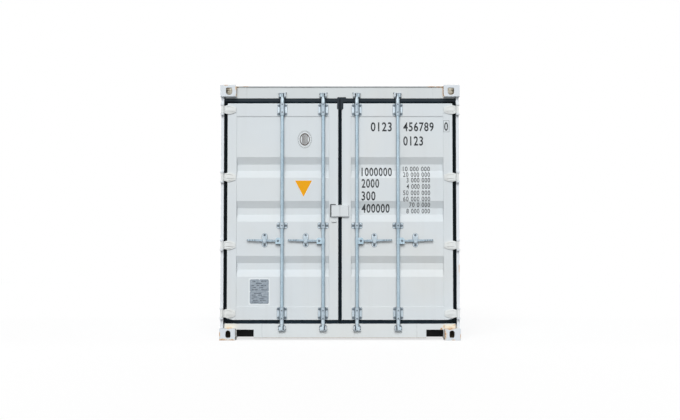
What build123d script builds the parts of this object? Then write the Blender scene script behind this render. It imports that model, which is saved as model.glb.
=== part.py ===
"""A twenty-foot steel shipping container with two doors at one end.

Millimetres, +Z up. The origin is the middle of the footprint, on the ground under the corner
fittings. The length runs along Y and the doors are at -Y, facing a person who looks along +Y.
A "depth" is measured into the container from the plane of the corner fittings' end faces.
"""

import os
from build123d import *

os.makedirs("parts", exist_ok=True)

# Overall size, over the corner fittings
length = 6058
width = 2438
height = 2591

# Corner fittings: cast boxes with a slot above or below and a hole in each outer face
fitting_x = 162
fitting_y = 178
fitting_z = 118
fitting_plate = 28
fitting_wall = 18
fitting_inner_wall = 12
fitting_cap = 16
fitting_corner = 7
slot_length = 124
slot_width = 63.5
slot_inset_x = 89.5
slot_inset_y = 102.5
end_hole_length = 79
end_hole_width = 51
shield_width = 63.5
shield_height = 74
shield_corner = 9

# How far the frame, the walls and the roof stand inside the fittings' outer faces
side_recess = 6
wall_recess = 2
front_recess = 4
roof_recess = 9

# Rear corner posts, in plan: a front flange that carries the hinges and a deeper inner part
post_front = 42
post_flange = 30
post_inner = 43
post_step = 44
post_wall = 6
post_round = 10

# Door header and sill
frame_front = 56
frame_depth = 100
frame_plate = 6
header_height = 121
header_lip = 10
header_lip_height = 5
sill_bottom = 20
sill_height = 145
notch_width = 174
notch_height = 85
notch_plate = 9

# Underframe and floor
rail_bottom = 17
rail_height = 158
rail_plate = 4.5
rail_top_flange = 48
rail_bottom_flange = 30
pocket_pitch = 2050
pocket_width = 352
pocket_bottom = 22
pocket_plate = 4
strap_length = 200
strap_plate = 5
cross_bottom = 15
cross_plate = 4
cross_flange = 45
cross_pitch = 290
floor_thickness = 28
floor_side_gap = 2
floor_joint = 2
floor_columns = 2
floor_rows = 5

# Top side rails, roof and walls
top_rail = 60
top_rail_wall = 3
sheet = 2
side_flat = 72
side_slope = 68
side_depth = 36
front_flat = 107
front_slope = 18
front_depth = 45
roof_flat = 91
roof_slope = 14
roof_depth = 20
corner_plate_width = 200
corner_plate_lap = 90
corner_plate_sheet = 3

# Vents in the side walls' first recess from the front
vent_width = 64
vent_height = 230
vent_depth = 24
vent_drop = 90
vent_wall = 3
vent_taper = 12

# Front end frame
front_frame_depth = 110
front_post_x = 110
front_post_wall = 6
front_post_return = 30

# Door seals, which set how far the leaves stand inside the door frame
seal_gap = 1
seal_side = 35
seal_head = 51
seal_foot = 37.5
seal_meeting = 15
meeting_gap = 7
seal_front = 60
seal_groove_front = 72
seal_back = 85
seal_groove = 12
flap_sheet = 2
flap_height = 35
flap_left = 40
flap_right = 71
stem_left = 30
stem_right = 34
stem_height = 82
stem_corner = 12
seal_corner_reach = 62
seal_corner_rise = 14

# Door leaves: a welded frame and a pressed panel
leaf_front = 54
leaf_thickness = 50
stile = 93
rail = 131
tube_wall = 3.2
channel_plate = 4
panel_recess = 6
press_depth = 36
press_slope = 73
press_flat = 65
press_levels = (447, -1, -561)

# Door hinges
hinge_count = 4
hinge_inset = 65
pin_inset = 16
pin_depth = 22
pin_radius = 9
pin_fit = 0.4
barrel_radius = 14
lug_stand = 4
lug_front = 4
lug_corner = 9
lug_height = 18
lug_gap = 1
knuckle_height = 78
neck_front = (12, 7)
neck_back = (6, 12)
neck_turn = 28
neck_sheet = 8
blade_sheet = 12
blade_reach = 86
blade_height = 92
blade_flare = 26
blade_tip_sheet = 7
blade_tip_height = 46
blade_swell = 5
blade_rib_height = 30
blade_rib = 3

# Lock rods, their brackets and their cam ends
rod_places = (172, 589)
rod_depth = 31
rod_radius = 17
rod_fit = 0.6
bracket_width = 99
bracket_height = 123
bracket_foot = 56
bracket_plate = 5
bracket_wall = 5
bracket_corner = 8
guide_width = 106
guide_height = 58
guide_level = 1159
socket_radius = 20
socket_length = 44
cam_radius = 15
cam_reach = 33
cam_nose_radius = 11
cam_nose_height = 34

# Keepers on the header and the sill
header_keeper_level = 28
sill_keeper_level = 46
keeper_width = 72
keeper_height = 56
keeper_plate = 5
keeper_lobe = 13
keeper_lobe_sides = 8
keeper_notch = 9
keeper_ear = 15
keeper_ear_height = 44
keeper_shelf = 8
keeper_front = 13
keeper_corner = 10
cam_gap = 3

# Handles with their hubs and retainers
handle_level = 1004
hub_sleeve_radius = 20
hub_height = 64
hub_reach = 66
hub_thickness = 28
hub_corner = 16
hub_slot = 12
hub_slot_start = 24
handle_pivot = 40
handle_pin_radius = 7
handle_thickness = 11
handle_eye = 13
handle_neck_height = 17
handle_grip_height = 23
handle_grip_start = 105
handle_reach = 358
handle_tip_height = 15
handle_rise = 8
hasp_place = 177
hasp_width = 31
hasp_height = 68
hasp_offset = 11
hasp_sheet = 6
retainer_width = 54
retainer_height = 141
retainer_offset = 7
retainer_plate = 5
retainer_shelf = 6
retainer_shelf_width = 40
retainer_shelf_front = 28
retainer_eye_radius = 7
retainer_eye_drop = 50
retainer_rest = 1

# Plates on the doors
lock_plate_width = 184
lock_plate_height = 124
lock_plate_offset = 1
lock_plate_front = 26
lock_plate_sheet = 4
lock_plate_taper = 12
lock_plate_seam = 5
data_plate_inset = 328
data_plate_level = 490
data_plate_width = 193
data_plate_height = 248
data_plate_sheet = 2
data_plate_nick = 10

# Places worked out from the sizes above
end_y = -length / 2
half_width = width / 2
fitting_inner_x = half_width - fitting_x
fitting_inner_y = length / 2 - fitting_y
fitting_low_z = height - fitting_z
slot_x = half_width - slot_inset_x
slot_y = slot_inset_y - length / 2
side_x = half_width - side_recess
post_flange_x = side_x - post_flange
post_inner_x = side_x - post_inner
frame_back_y = end_y + frame_front + frame_depth
sill_top = sill_bottom + sill_height
roof_top = height - roof_recess
header_bottom = roof_top - header_height
rail_top = rail_bottom + rail_height
rail_inner_x = side_x - rail_plate
floor_bottom = sill_top - floor_thickness
front_y = length / 2 - front_recess
front_back_y = front_y - front_frame_depth
front_inner_x = side_x - front_post_x
wall_top = roof_top - top_rail
wall_x = side_x - wall_recess
seal_low = sill_top + seal_gap
seal_high = header_bottom - seal_gap
seal_edge = post_flange_x - seal_gap
leaf_low = seal_low + seal_foot
leaf_high = seal_high - seal_head
leaf_edge = seal_edge - seal_side
seal_inner = meeting_gap / 2
leaf_inner = seal_inner + seal_meeting
leaf_middle = (leaf_low + leaf_high) / 2
leaf_back = leaf_front + leaf_thickness
panel_front = leaf_front + panel_recess
pin_x = side_x - pin_inset
pin_y = end_y + pin_depth
rod_y = end_y + rod_depth


def across(depth):
    """The plane at a depth behind the end face: local x is X, local y is Z, and it faces -Y."""
    return Plane(origin=(0, end_y + depth, 0), x_dir=(1, 0, 0), z_dir=(0, -1, 0))


def block(x0, x1, y0, y1, z0, z1, mode=Mode.ADD):
    """A box between two corners, added to or cut from the part in hand."""
    with Locations(((x0 + x1) / 2, (y0 + y1) / 2, (z0 + z1) / 2)):
        Box(abs(x1 - x0), abs(y1 - y0), abs(z1 - z0), mode=mode)


def twin(part):
    """The same piece on the other side of the container's long middle plane."""
    return mirror(part, about=Plane.YZ)


def other_end(part):
    """The same piece at the other end of the container."""
    return mirror(part, about=Plane.XZ)


def group(pieces):
    """Several separate pieces as one node."""
    return Compound([solid for piece in pieces for solid in piece.solids()])


def save(part, name):
    """Writes one node."""
    part.label = name
    export_step(part, f"parts/{name}.step")


def end_flat(start, end, flat, slope):
    """Length of the plain strip at each end of a pressed sheet that runs from start to end."""
    pitch = 2 * (flat + slope)
    count = (end - start - flat) // pitch
    return (end - start - count * pitch + flat) / 2


def pressed(start, end, flat, slope, depth, face, inward):
    """Outline of a pressed sheet's section: flats at face, troughs a depth inward of it, and
    the sheet's thickness on the inward side."""
    pitch = 2 * (flat + slope)
    edge = end_flat(start, end, flat, slope)
    line = [(start, face)]
    for i in range(int((end - start - flat) // pitch)):
        first = start + edge + i * pitch
        trough = face + inward * depth
        line.append((first, face))
        line.append((first + slope, trough))
        line.append((first + slope + flat, trough))
        line.append((first + 2 * slope + flat, face))
    line.append((end, face))
    back = [(u, v + inward * sheet) for u, v in reversed(line)]
    return line + back


# Corner fittings, drawn at the foot and at the top of the right-hand door post
def shield(place):
    """A hole with a round foot and a flat head, its head at the given point."""
    radius = shield_width / 2
    with Locations((place[0], place[1] - (shield_height - radius) / 2)):
        Rectangle(shield_width, shield_height - radius)
    with Locations((place[0], place[1] - shield_height + radius)):
        Circle(radius)


def hollow_fitting(low, floor, roof):
    """A fitting from level low, hollow between the levels floor and roof, with no holes yet."""
    block(fitting_inner_x, half_width, end_y, -fitting_inner_y, low, low + fitting_z)
    block(
        fitting_inner_x + fitting_inner_wall,
        half_width - fitting_wall,
        end_y + fitting_wall,
        -fitting_inner_y - fitting_inner_wall,
        floor,
        roof,
        mode=Mode.SUBTRACT,
    )


with BuildPart() as bottom_fitting:
    hollow_fitting(0, fitting_plate, fitting_z - fitting_cap)
    outer_edges = bottom_fitting.edges().filter_by(Axis.Z).group_by(Axis.X)[-1]
    chamfer(outer_edges, fitting_corner)
    with BuildSketch(Plane.XY):
        with Locations((slot_x, slot_y)):
            SlotOverall(slot_length, slot_width, rotation=90)
    extrude(amount=fitting_plate, mode=Mode.SUBTRACT)
    with BuildSketch(across(fitting_wall)):
        with Locations((slot_x, fitting_z / 2)):
            SlotOverall(end_hole_length, end_hole_width, rotation=90)
    extrude(amount=fitting_wall, mode=Mode.SUBTRACT)
    with BuildSketch(Plane.YZ.offset(half_width - fitting_wall)):
        with Locations((slot_y, fitting_z / 2)):
            SlotOverall(end_hole_length, end_hole_width, rotation=90)
    extrude(amount=fitting_wall, mode=Mode.SUBTRACT)

with BuildPart() as top_fitting:
    hole_head = height - fitting_plate
    hollow_fitting(fitting_low_z, fitting_low_z + fitting_cap, hole_head)
    outer_edges = top_fitting.edges().filter_by(Axis.Z).group_by(Axis.X)[-1]
    chamfer(outer_edges, fitting_corner)
    with BuildSketch(Plane.XY.offset(hole_head)):
        with Locations((slot_x, slot_y)):
            SlotOverall(slot_length, slot_width, rotation=90)
    extrude(amount=fitting_plate, mode=Mode.SUBTRACT)
    with BuildSketch(across(fitting_wall)) as end_hole:
        shield((slot_x, hole_head))
        chamfer(end_hole.vertices().group_by(Axis.Y)[-1], shield_corner)
    extrude(amount=fitting_wall, mode=Mode.SUBTRACT)
    with BuildSketch(Plane.YZ.offset(half_width - fitting_wall)) as side_hole:
        shield((slot_y, hole_head))
        chamfer(side_hole.vertices().group_by(Axis.Y)[-1], shield_corner)
    extrude(amount=fitting_wall, mode=Mode.SUBTRACT)

for fitting, level in ((bottom_fitting, "bottom"), (top_fitting, "top")):
    right_side = group([fitting.part, other_end(fitting.part)])
    save(group([right_side, twin(right_side)]), f"{level}_corner_castings")


# Rear corner posts
with BuildPart() as rear_post:
    with BuildSketch(Plane.XY.offset(fitting_z)) as post_section:
        with BuildLine():
            Polyline(
                (side_x, end_y + post_front),
                (post_flange_x, end_y + post_front),
                (post_flange_x, end_y + post_front + post_step),
                (post_inner_x, end_y + post_front + post_step),
                (post_inner_x, frame_back_y),
                (side_x, frame_back_y),
                close=True,
            )
        make_face()
        front_corner = post_section.vertices().sort_by_distance((side_x, end_y + post_front))[0]
        fillet(front_corner, post_round)
        offset(amount=-post_wall, mode=Mode.SUBTRACT)
    extrude(amount=fitting_low_z - fitting_z)
save(group([rear_post.part, twin(rear_post.part)]), "rear_corner_posts")


# Door header: a box between the posts, cut round the top fittings, with a rain lip in front
frame_front_y = end_y + frame_front
with BuildPart() as header:
    block(-post_inner_x, post_inner_x, frame_front_y, frame_back_y, header_bottom, roof_top)
    block(
        -post_inner_x,
        post_inner_x,
        frame_front_y + frame_plate,
        frame_back_y - frame_plate,
        header_bottom + frame_plate,
        roof_top - frame_plate,
        mode=Mode.SUBTRACT,
    )
    block(
        -fitting_inner_x,
        fitting_inner_x,
        frame_front_y - header_lip,
        frame_front_y,
        roof_top - header_lip_height,
        roof_top,
    )
    for side in (-1, 1):
        block(
            side * fitting_inner_x,
            side * half_width,
            end_y,
            -fitting_inner_y,
            fitting_low_z,
            height,
            mode=Mode.SUBTRACT,
        )
save(header.part, "door_header")


# Door sill: open below, with a lined notch beside each bottom fitting
with BuildPart() as sill:
    block(-post_inner_x, post_inner_x, frame_front_y, frame_back_y, sill_bottom, sill_top)
    block(
        -post_inner_x,
        post_inner_x,
        frame_front_y + frame_plate,
        frame_back_y - frame_plate,
        sill_bottom,
        sill_top - frame_plate,
        mode=Mode.SUBTRACT,
    )
    for side in (-1, 1):
        block(
            side * fitting_inner_x,
            side * half_width,
            end_y,
            -fitting_inner_y,
            0,
            fitting_z,
            mode=Mode.SUBTRACT,
        )
        liner_inner_x = side * (fitting_inner_x - notch_width - 2 * notch_plate)
        notch_top = sill_bottom + notch_height
        block(
            liner_inner_x,
            side * fitting_inner_x,
            frame_front_y,
            frame_back_y,
            sill_bottom,
            notch_top + notch_plate,
        )
        block(
            liner_inner_x + side * notch_plate,
            side * (fitting_inner_x - notch_plate),
            frame_front_y,
            frame_back_y,
            sill_bottom,
            notch_top,
            mode=Mode.SUBTRACT,
        )
save(sill.part, "door_sill")


# Keepers: a base plate with a bolted lobe at each corner, an ear beside the cam
# and a shelf beyond it, open in front
def keeper(x, level, beyond):
    """The keeper for the right-hand rod at x. The shelf is above the cam where beyond is 1."""
    base_y = frame_front_y - keeper_plate
    front = end_y + keeper_front
    half = keeper_width / 2
    lobe_pitch = (keeper_width - 2 * keeper_lobe, keeper_height - 2 * keeper_lobe)
    with BuildPart() as part:
        with BuildSketch(across(frame_front)):
            with Locations((x, level)):
                Rectangle(keeper_width - 2 * keeper_notch, keeper_height - 2 * keeper_notch)
                with GridLocations(*lobe_pitch, 2, 2):
                    RegularPolygon(
                        keeper_lobe,
                        keeper_lobe_sides,
                        major_radius=False,
                        rotation=180 / keeper_lobe_sides,
                    )
        extrude(amount=keeper_plate)
        with BuildSketch(Plane.YZ.offset(x - half)) as ear:
            with Locations(((front + base_y) / 2, level)):
                Rectangle(base_y - front, keeper_ear_height)
            chamfer(ear.vertices().group_by(Axis.X)[0], keeper_corner)
        extrude(amount=keeper_ear)
        shelf_start = level + beyond * (cam_nose_height / 2 + cam_gap)
        block(
            x - half,
            x + half,
            front + cam_nose_radius,
            base_y,
            shelf_start,
            shelf_start + beyond * keeper_shelf,
        )
    return part.part


header_cam_level = header_bottom + header_keeper_level
sill_cam_level = sill_top - sill_keeper_level
header_keepers = group([keeper(x, header_cam_level, 1) for x in rod_places])
sill_keepers = group([keeper(x, sill_cam_level, -1) for x in rod_places])
save(group([header_keepers, twin(header_keepers)]), "header_keepers")
save(group([sill_keepers, twin(sill_keepers)]), "sill_keepers")


# Bottom side rails, with a hole at each end of a fork pocket
pocket_places = (-pocket_pitch / 2, pocket_pitch / 2)
pocket_top = floor_bottom - pocket_plate
with BuildPart() as bottom_rail:
    with BuildSketch(Plane.XZ.offset(-front_back_y)):
        with BuildLine():
            Polyline(
                (side_x, rail_bottom),
                (side_x, rail_top),
                (side_x - rail_top_flange, rail_top),
                (side_x - rail_top_flange, rail_top - rail_plate),
                (rail_inner_x, rail_top - rail_plate),
                (rail_inner_x, rail_bottom + rail_plate),
                (side_x - rail_bottom_flange, rail_bottom + rail_plate),
                (side_x - rail_bottom_flange, rail_bottom),
                close=True,
            )
        make_face()
    extrude(amount=front_back_y - frame_back_y)
    for end in (-1, 1):
        block(
            fitting_inner_x,
            half_width,
            end * fitting_inner_y,
            end * length / 2,
            0,
            fitting_z,
            mode=Mode.SUBTRACT,
        )
    for y in pocket_places:
        block(
            rail_inner_x,
            side_x,
            y - pocket_width / 2,
            y + pocket_width / 2,
            pocket_bottom,
            pocket_top,
            mode=Mode.SUBTRACT,
        )
save(group([bottom_rail.part, twin(bottom_rail.part)]), "bottom_side_rails")


# Fork pockets: a tunnel from rail to rail, open below except for a strap at each end
pocket_half = pocket_width / 2 + pocket_plate
strap_x = side_x - rail_bottom_flange
with BuildPart() as pockets:
    for y in pocket_places:
        block(
            -rail_inner_x,
            rail_inner_x,
            y - pocket_half,
            y + pocket_half,
            pocket_bottom,
            floor_bottom,
        )
        block(
            -rail_inner_x,
            rail_inner_x,
            y - pocket_width / 2,
            y + pocket_width / 2,
            pocket_bottom,
            pocket_top,
            mode=Mode.SUBTRACT,
        )
        for side in (-1, 1):
            block(
                side * (strap_x - strap_length),
                side * strap_x,
                y - pocket_half,
                y + pocket_half,
                pocket_bottom - strap_plate,
                pocket_bottom,
            )
save(pockets.part, "fork_pockets")


# Cross members: channels between the side rails, left out where a fork pocket stands
cross_count = int((length - 2 * fitting_y - cross_flange) // cross_pitch)
cross_places = [(i - (cross_count - 1) / 2) * cross_pitch for i in range(cross_count)]
cross_places = [
    y
    for y in cross_places
    if min(abs(y + cross_flange / 2 - p) for p in pocket_places) > pocket_half + cross_flange
]
with BuildPart() as cross_members:
    with BuildSketch(Plane.YZ.offset(-rail_inner_x)):
        for y in cross_places:
            with BuildLine():
                Polyline(
                    (y, cross_bottom),
                    (y, floor_bottom),
                    (y + cross_flange, floor_bottom),
                    (y + cross_flange, floor_bottom - cross_plate),
                    (y + cross_plate, floor_bottom - cross_plate),
                    (y + cross_plate, cross_bottom + cross_plate),
                    (y + cross_flange, cross_bottom + cross_plate),
                    (y + cross_flange, cross_bottom),
                    close=True,
                )
            make_face()
    extrude(amount=2 * rail_inner_x)
    for side in (-1, 1):
        block(
            side * strap_x,
            side * half_width,
            end_y,
            front_y,
            0,
            rail_bottom + rail_plate,
            mode=Mode.SUBTRACT,
        )
save(cross_members.part, "cross_members")


# Floor boards on the cross members, between the side rails' top flanges
floor_x = 2 * (side_x - rail_top_flange - floor_side_gap)
floor_y = front_back_y - frame_back_y
board_x = (floor_x - (floor_columns - 1) * floor_joint) / floor_columns
board_y = (floor_y - (floor_rows - 1) * floor_joint) / floor_rows
with BuildPart() as floor:
    with Locations((0, (frame_back_y + front_back_y) / 2, floor_bottom + floor_thickness / 2)):
        with GridLocations(board_x + floor_joint, board_y + floor_joint, floor_columns, floor_rows):
            Box(board_x, board_y, floor_thickness)
save(floor.part, "floor_boards")


# Front end: pressed posts, hollow rails and a corrugated wall
with BuildPart() as front_post:
    with BuildSketch(Plane.XY.offset(fitting_z)):
        with BuildLine():
            Polyline(
                (side_x - front_post_return, front_back_y),
                (side_x, front_back_y),
                (side_x, front_y),
                (front_inner_x, front_y),
                (front_inner_x, front_y - front_frame_depth / 2),
                (front_inner_x + front_post_wall, front_y - front_frame_depth / 2),
                (front_inner_x + front_post_wall, front_y - front_post_wall),
                (side_x - front_post_wall, front_y - front_post_wall),
                (side_x - front_post_wall, front_back_y + front_post_wall),
                (side_x - front_post_return, front_back_y + front_post_wall),
                close=True,
            )
        make_face()
    extrude(amount=fitting_low_z - fitting_z)
save(group([front_post.part, twin(front_post.part)]), "front_corner_posts")

with BuildPart() as front_bottom_rail:
    block(-front_inner_x, front_inner_x, front_back_y, front_y, sill_bottom, rail_top)
    block(
        -front_inner_x,
        front_inner_x,
        front_back_y + frame_plate,
        front_y - frame_plate,
        sill_bottom,
        rail_top - frame_plate,
        mode=Mode.SUBTRACT,
    )
    for side in (-1, 1):
        block(
            side * fitting_inner_x,
            side * half_width,
            fitting_inner_y,
            length / 2,
            0,
            fitting_z,
            mode=Mode.SUBTRACT,
        )
save(front_bottom_rail.part, "front_bottom_rail")

with BuildPart() as front_top_rail:
    with BuildSketch(Plane.YZ.offset(-fitting_inner_x)):
        with Locations(((front_back_y + front_y) / 2, (fitting_low_z + roof_top) / 2)):
            Rectangle(front_frame_depth, roof_top - fitting_low_z)
            Rectangle(
                front_frame_depth - 2 * frame_plate,
                roof_top - fitting_low_z - 2 * frame_plate,
                mode=Mode.SUBTRACT,
            )
    extrude(amount=2 * fitting_inner_x)
save(front_top_rail.part, "front_top_rail")

with BuildPart() as front_wall:
    with BuildSketch(Plane.XY.offset(rail_top)):
        with BuildLine():
            wall_face = front_y - wall_recess
            Polyline(
                *pressed(
                    -front_inner_x,
                    front_inner_x,
                    front_flat,
                    front_slope,
                    front_depth,
                    wall_face,
                    -1,
                ),
                close=True,
            )
        make_face()
    extrude(amount=fitting_low_z - rail_top)
save(front_wall.part, "front_wall")


# Side walls, cut round the top fittings
with BuildPart() as side_wall:
    with BuildSketch(Plane.XY.offset(rail_top)):
        with BuildLine():
            side_section = pressed(
                frame_back_y, front_back_y, side_flat, side_slope, side_depth, wall_x, -1
            )
            Polyline(*[(x, y) for y, x in side_section], close=True)
        make_face()
    extrude(amount=wall_top - rail_top)
    for end in (-1, 1):
        block(
            fitting_inner_x,
            half_width,
            end * fitting_inner_y,
            end * length / 2,
            fitting_low_z,
            height,
            mode=Mode.SUBTRACT,
        )
save(side_wall.part, "right_side_wall")
save(twin(side_wall.part), "left_side_wall")

with BuildPart() as top_side_rail:
    with BuildSketch(Plane.XZ.offset(-fitting_inner_y)):
        with Locations((side_x - top_rail / 2, roof_top - top_rail / 2)):
            Rectangle(top_rail, top_rail)
            Rectangle(
                top_rail - 2 * top_rail_wall, top_rail - 2 * top_rail_wall, mode=Mode.SUBTRACT
            )
    extrude(amount=2 * fitting_inner_y)
save(group([top_side_rail.part, twin(top_side_rail.part)]), "top_side_rails")


# Roof: a sheet with pressed ridges across, and a plate at each corner against spreader blows
roof_x = side_x - top_rail
with BuildPart() as roof:
    with BuildSketch(Plane.YZ.offset(-roof_x)):
        with BuildLine():
            Polyline(
                *pressed(
                    frame_back_y, front_back_y, roof_flat, roof_slope, roof_depth, roof_top, -1
                ),
                close=True,
            )
        make_face()
    extrude(amount=2 * roof_x)
    for side in (-1, 1):
        for end in (-1, 1):
            block(
                side * fitting_inner_x,
                side * half_width,
                end * fitting_inner_y,
                end * length / 2,
                fitting_low_z,
                height,
                mode=Mode.SUBTRACT,
            )
save(roof.part, "roof_panel")

corner_plates = []
for start, end in (
    (frame_front_y, frame_back_y + corner_plate_lap),
    (front_back_y - corner_plate_lap, front_y),
):
    with BuildPart() as corner_plate:
        block(
            fitting_inner_x - corner_plate_width,
            fitting_inner_x,
            start,
            end,
            roof_top,
            roof_top + corner_plate_sheet,
        )
    corner_plates.append(corner_plate.part)
corner_plates = group(corner_plates)
save(group([corner_plates, twin(corner_plates)]), "roof_corner_plates")


# Vents: a hood in the side wall's first recess from the front, open below
vent_y = (
    front_back_y
    - end_flat(frame_back_y, front_back_y, side_flat, side_slope)
    - side_slope
    - side_flat / 2
)
vent_level = wall_top - vent_drop - vent_height / 2
with BuildPart() as vent:
    with BuildSketch(Plane.YZ.offset(wall_x - side_depth)):
        with Locations((vent_y, vent_level)):
            Rectangle(vent_width, vent_height)
    extrude(amount=vent_depth, taper=vent_taper)
    with BuildSketch(Plane.YZ.offset(wall_x - side_depth)):
        with Locations((vent_y, vent_level - vent_depth)):
            Rectangle(vent_width - 2 * vent_wall, vent_height)
    extrude(amount=vent_depth - vent_wall, taper=vent_taper, mode=Mode.SUBTRACT)
save(group([vent.part, twin(vent.part)]), "side_vents")


# Door leaf frame: tube stiles with channel rails between them
rail_start_x = leaf_inner + stile
rail_end_x = leaf_edge - stile
leaf_front_y = end_y + leaf_front
leaf_back_y = end_y + leaf_back
with BuildPart() as leaf_frame:
    with BuildSketch(Plane.XY.offset(leaf_low)):
        for x in (leaf_inner + stile / 2, leaf_edge - stile / 2):
            with Locations((x, (leaf_front_y + leaf_back_y) / 2)):
                Rectangle(stile, leaf_thickness)
                Rectangle(
                    stile - 2 * tube_wall, leaf_thickness - 2 * tube_wall, mode=Mode.SUBTRACT
                )
    extrude(amount=leaf_high - leaf_low)
    for low in (leaf_low, leaf_high - rail):
        block(rail_start_x, rail_end_x, leaf_front_y, leaf_back_y, low, low + rail)
        block(
            rail_start_x,
            rail_end_x,
            leaf_front_y + channel_plate,
            leaf_back_y,
            low + channel_plate,
            low + rail - channel_plate,
            mode=Mode.SUBTRACT,
        )
save(leaf_frame.part, "right_door_frame")
save(twin(leaf_frame.part), "left_door_frame")


# Door panel: a sheet pressed with three broad troughs, welded into the frame
with BuildPart() as door_panel:
    face_y = end_y + panel_front
    panel_line = [(face_y, leaf_low + rail)]
    for level in sorted(press_levels):
        trough_top = leaf_middle + level + press_flat / 2 + press_slope
        trough_low = leaf_middle + level - press_flat / 2 - press_slope
        panel_line.append((face_y, trough_low))
        panel_line.append((face_y + press_depth, trough_low + press_slope))
        panel_line.append((face_y + press_depth, trough_top - press_slope))
        panel_line.append((face_y, trough_top))
    panel_line.append((face_y, leaf_high - rail))
    panel_line += [(y + sheet, z) for y, z in reversed(panel_line)]
    with BuildSketch(Plane.YZ.offset(rail_start_x)):
        with BuildLine():
            Polyline(*panel_line, close=True)
        make_face()
    extrude(amount=rail_end_x - rail_start_x)
save(door_panel.part, "right_door_panel")
save(twin(door_panel.part), "left_door_panel")


# Door seal: a rubber frame round the leaf, with a groove beside the leaf, a lip outside it,
# a moulded gusset over the leaf's lower outer corner and half of a T-shaped flap over the
# top of the meeting line
def seal_ring(groove):
    """A flat frame from a groove's width outside the leaf to the door frame."""
    with Locations(((seal_inner + seal_edge) / 2, (seal_low + seal_high) / 2)):
        Rectangle(seal_edge - seal_inner, seal_high - seal_low)
    with Locations(((leaf_inner + leaf_edge) / 2, leaf_middle)):
        Rectangle(
            leaf_edge - leaf_inner + 2 * groove,
            leaf_high - leaf_low + 2 * groove,
            mode=Mode.SUBTRACT,
        )


def door_seal(flap_width, stem_width):
    """The right-hand leaf's seal, with half a flap of the given widths."""
    with BuildPart() as seal:
        with BuildSketch(across(seal_back)):
            seal_ring(0)
        extrude(amount=seal_back - seal_groove_front)
        with BuildSketch(across(seal_groove_front)):
            seal_ring(seal_groove)
        extrude(amount=seal_groove_front - seal_front)
        flap_y = leaf_front_y - flap_sheet
        flap_low = seal_high - flap_height
        block(seal_inner, flap_width, flap_y, end_y + seal_front, flap_low, seal_high)
        with BuildSketch(across(leaf_front)):
            with BuildLine():
                stem_low = flap_low - stem_height
                Polyline(
                    (seal_inner, flap_low),
                    (stem_width, flap_low),
                    (stem_width, stem_low + stem_corner),
                    (stem_width - stem_corner, stem_low),
                    (seal_inner, stem_low),
                    close=True,
                )
            make_face()
        extrude(amount=flap_sheet)
        block(
            seal_inner,
            leaf_inner,
            leaf_front_y,
            end_y + seal_groove_front,
            stem_low,
            flap_low,
        )
        with BuildSketch(across(seal_groove_front)):
            with BuildLine():
                Polyline(
                    (leaf_edge, leaf_low + seal_corner_rise),
                    (leaf_edge + seal_groove, leaf_low + seal_corner_rise),
                    (leaf_edge + seal_groove, leaf_low - seal_groove),
                    (leaf_edge - seal_corner_reach, leaf_low - seal_groove),
                    (leaf_edge - seal_corner_reach, leaf_low),
                    close=True,
                )
            make_face()
        extrude(amount=seal_groove_front - leaf_front + flap_sheet)
        block(
            leaf_edge - seal_corner_reach,
            leaf_edge,
            leaf_front_y,
            end_y + seal_groove_front,
            leaf_low,
            leaf_low + seal_corner_rise,
            mode=Mode.SUBTRACT,
        )
    return seal.part


save(door_seal(flap_right, stem_right), "right_door_seal")
save(twin(door_seal(flap_left, stem_left)), "left_door_seal")


# Hinges: lugs with a welded pin on the post, blades on the leaf
lug_start = knuckle_height / 2 + lug_gap
post_front_y = end_y + post_front


def hinge_lugs(level):
    """Two lugs that reach forward from the post's flange, with the pin between them."""
    with BuildPart() as lugs:
        for low in (level + lug_start, level - lug_start - lug_height):
            with BuildSketch(Plane.XY.offset(low)) as lug:
                with BuildLine():
                    Polyline(
                        (post_flange_x, post_front_y),
                        (post_flange_x, end_y + lug_front),
                        (side_x + lug_stand, end_y + lug_front),
                        (side_x + lug_stand, post_front_y),
                        close=True,
                    )
                make_face()
                chamfer(lug.vertices().group_by(Axis.Y)[0], lug_corner)
            extrude(amount=lug_height)
        with Locations((pin_x, pin_y, level)):
            Cylinder(pin_radius, 2 * lug_start)
    return lugs.part


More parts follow.
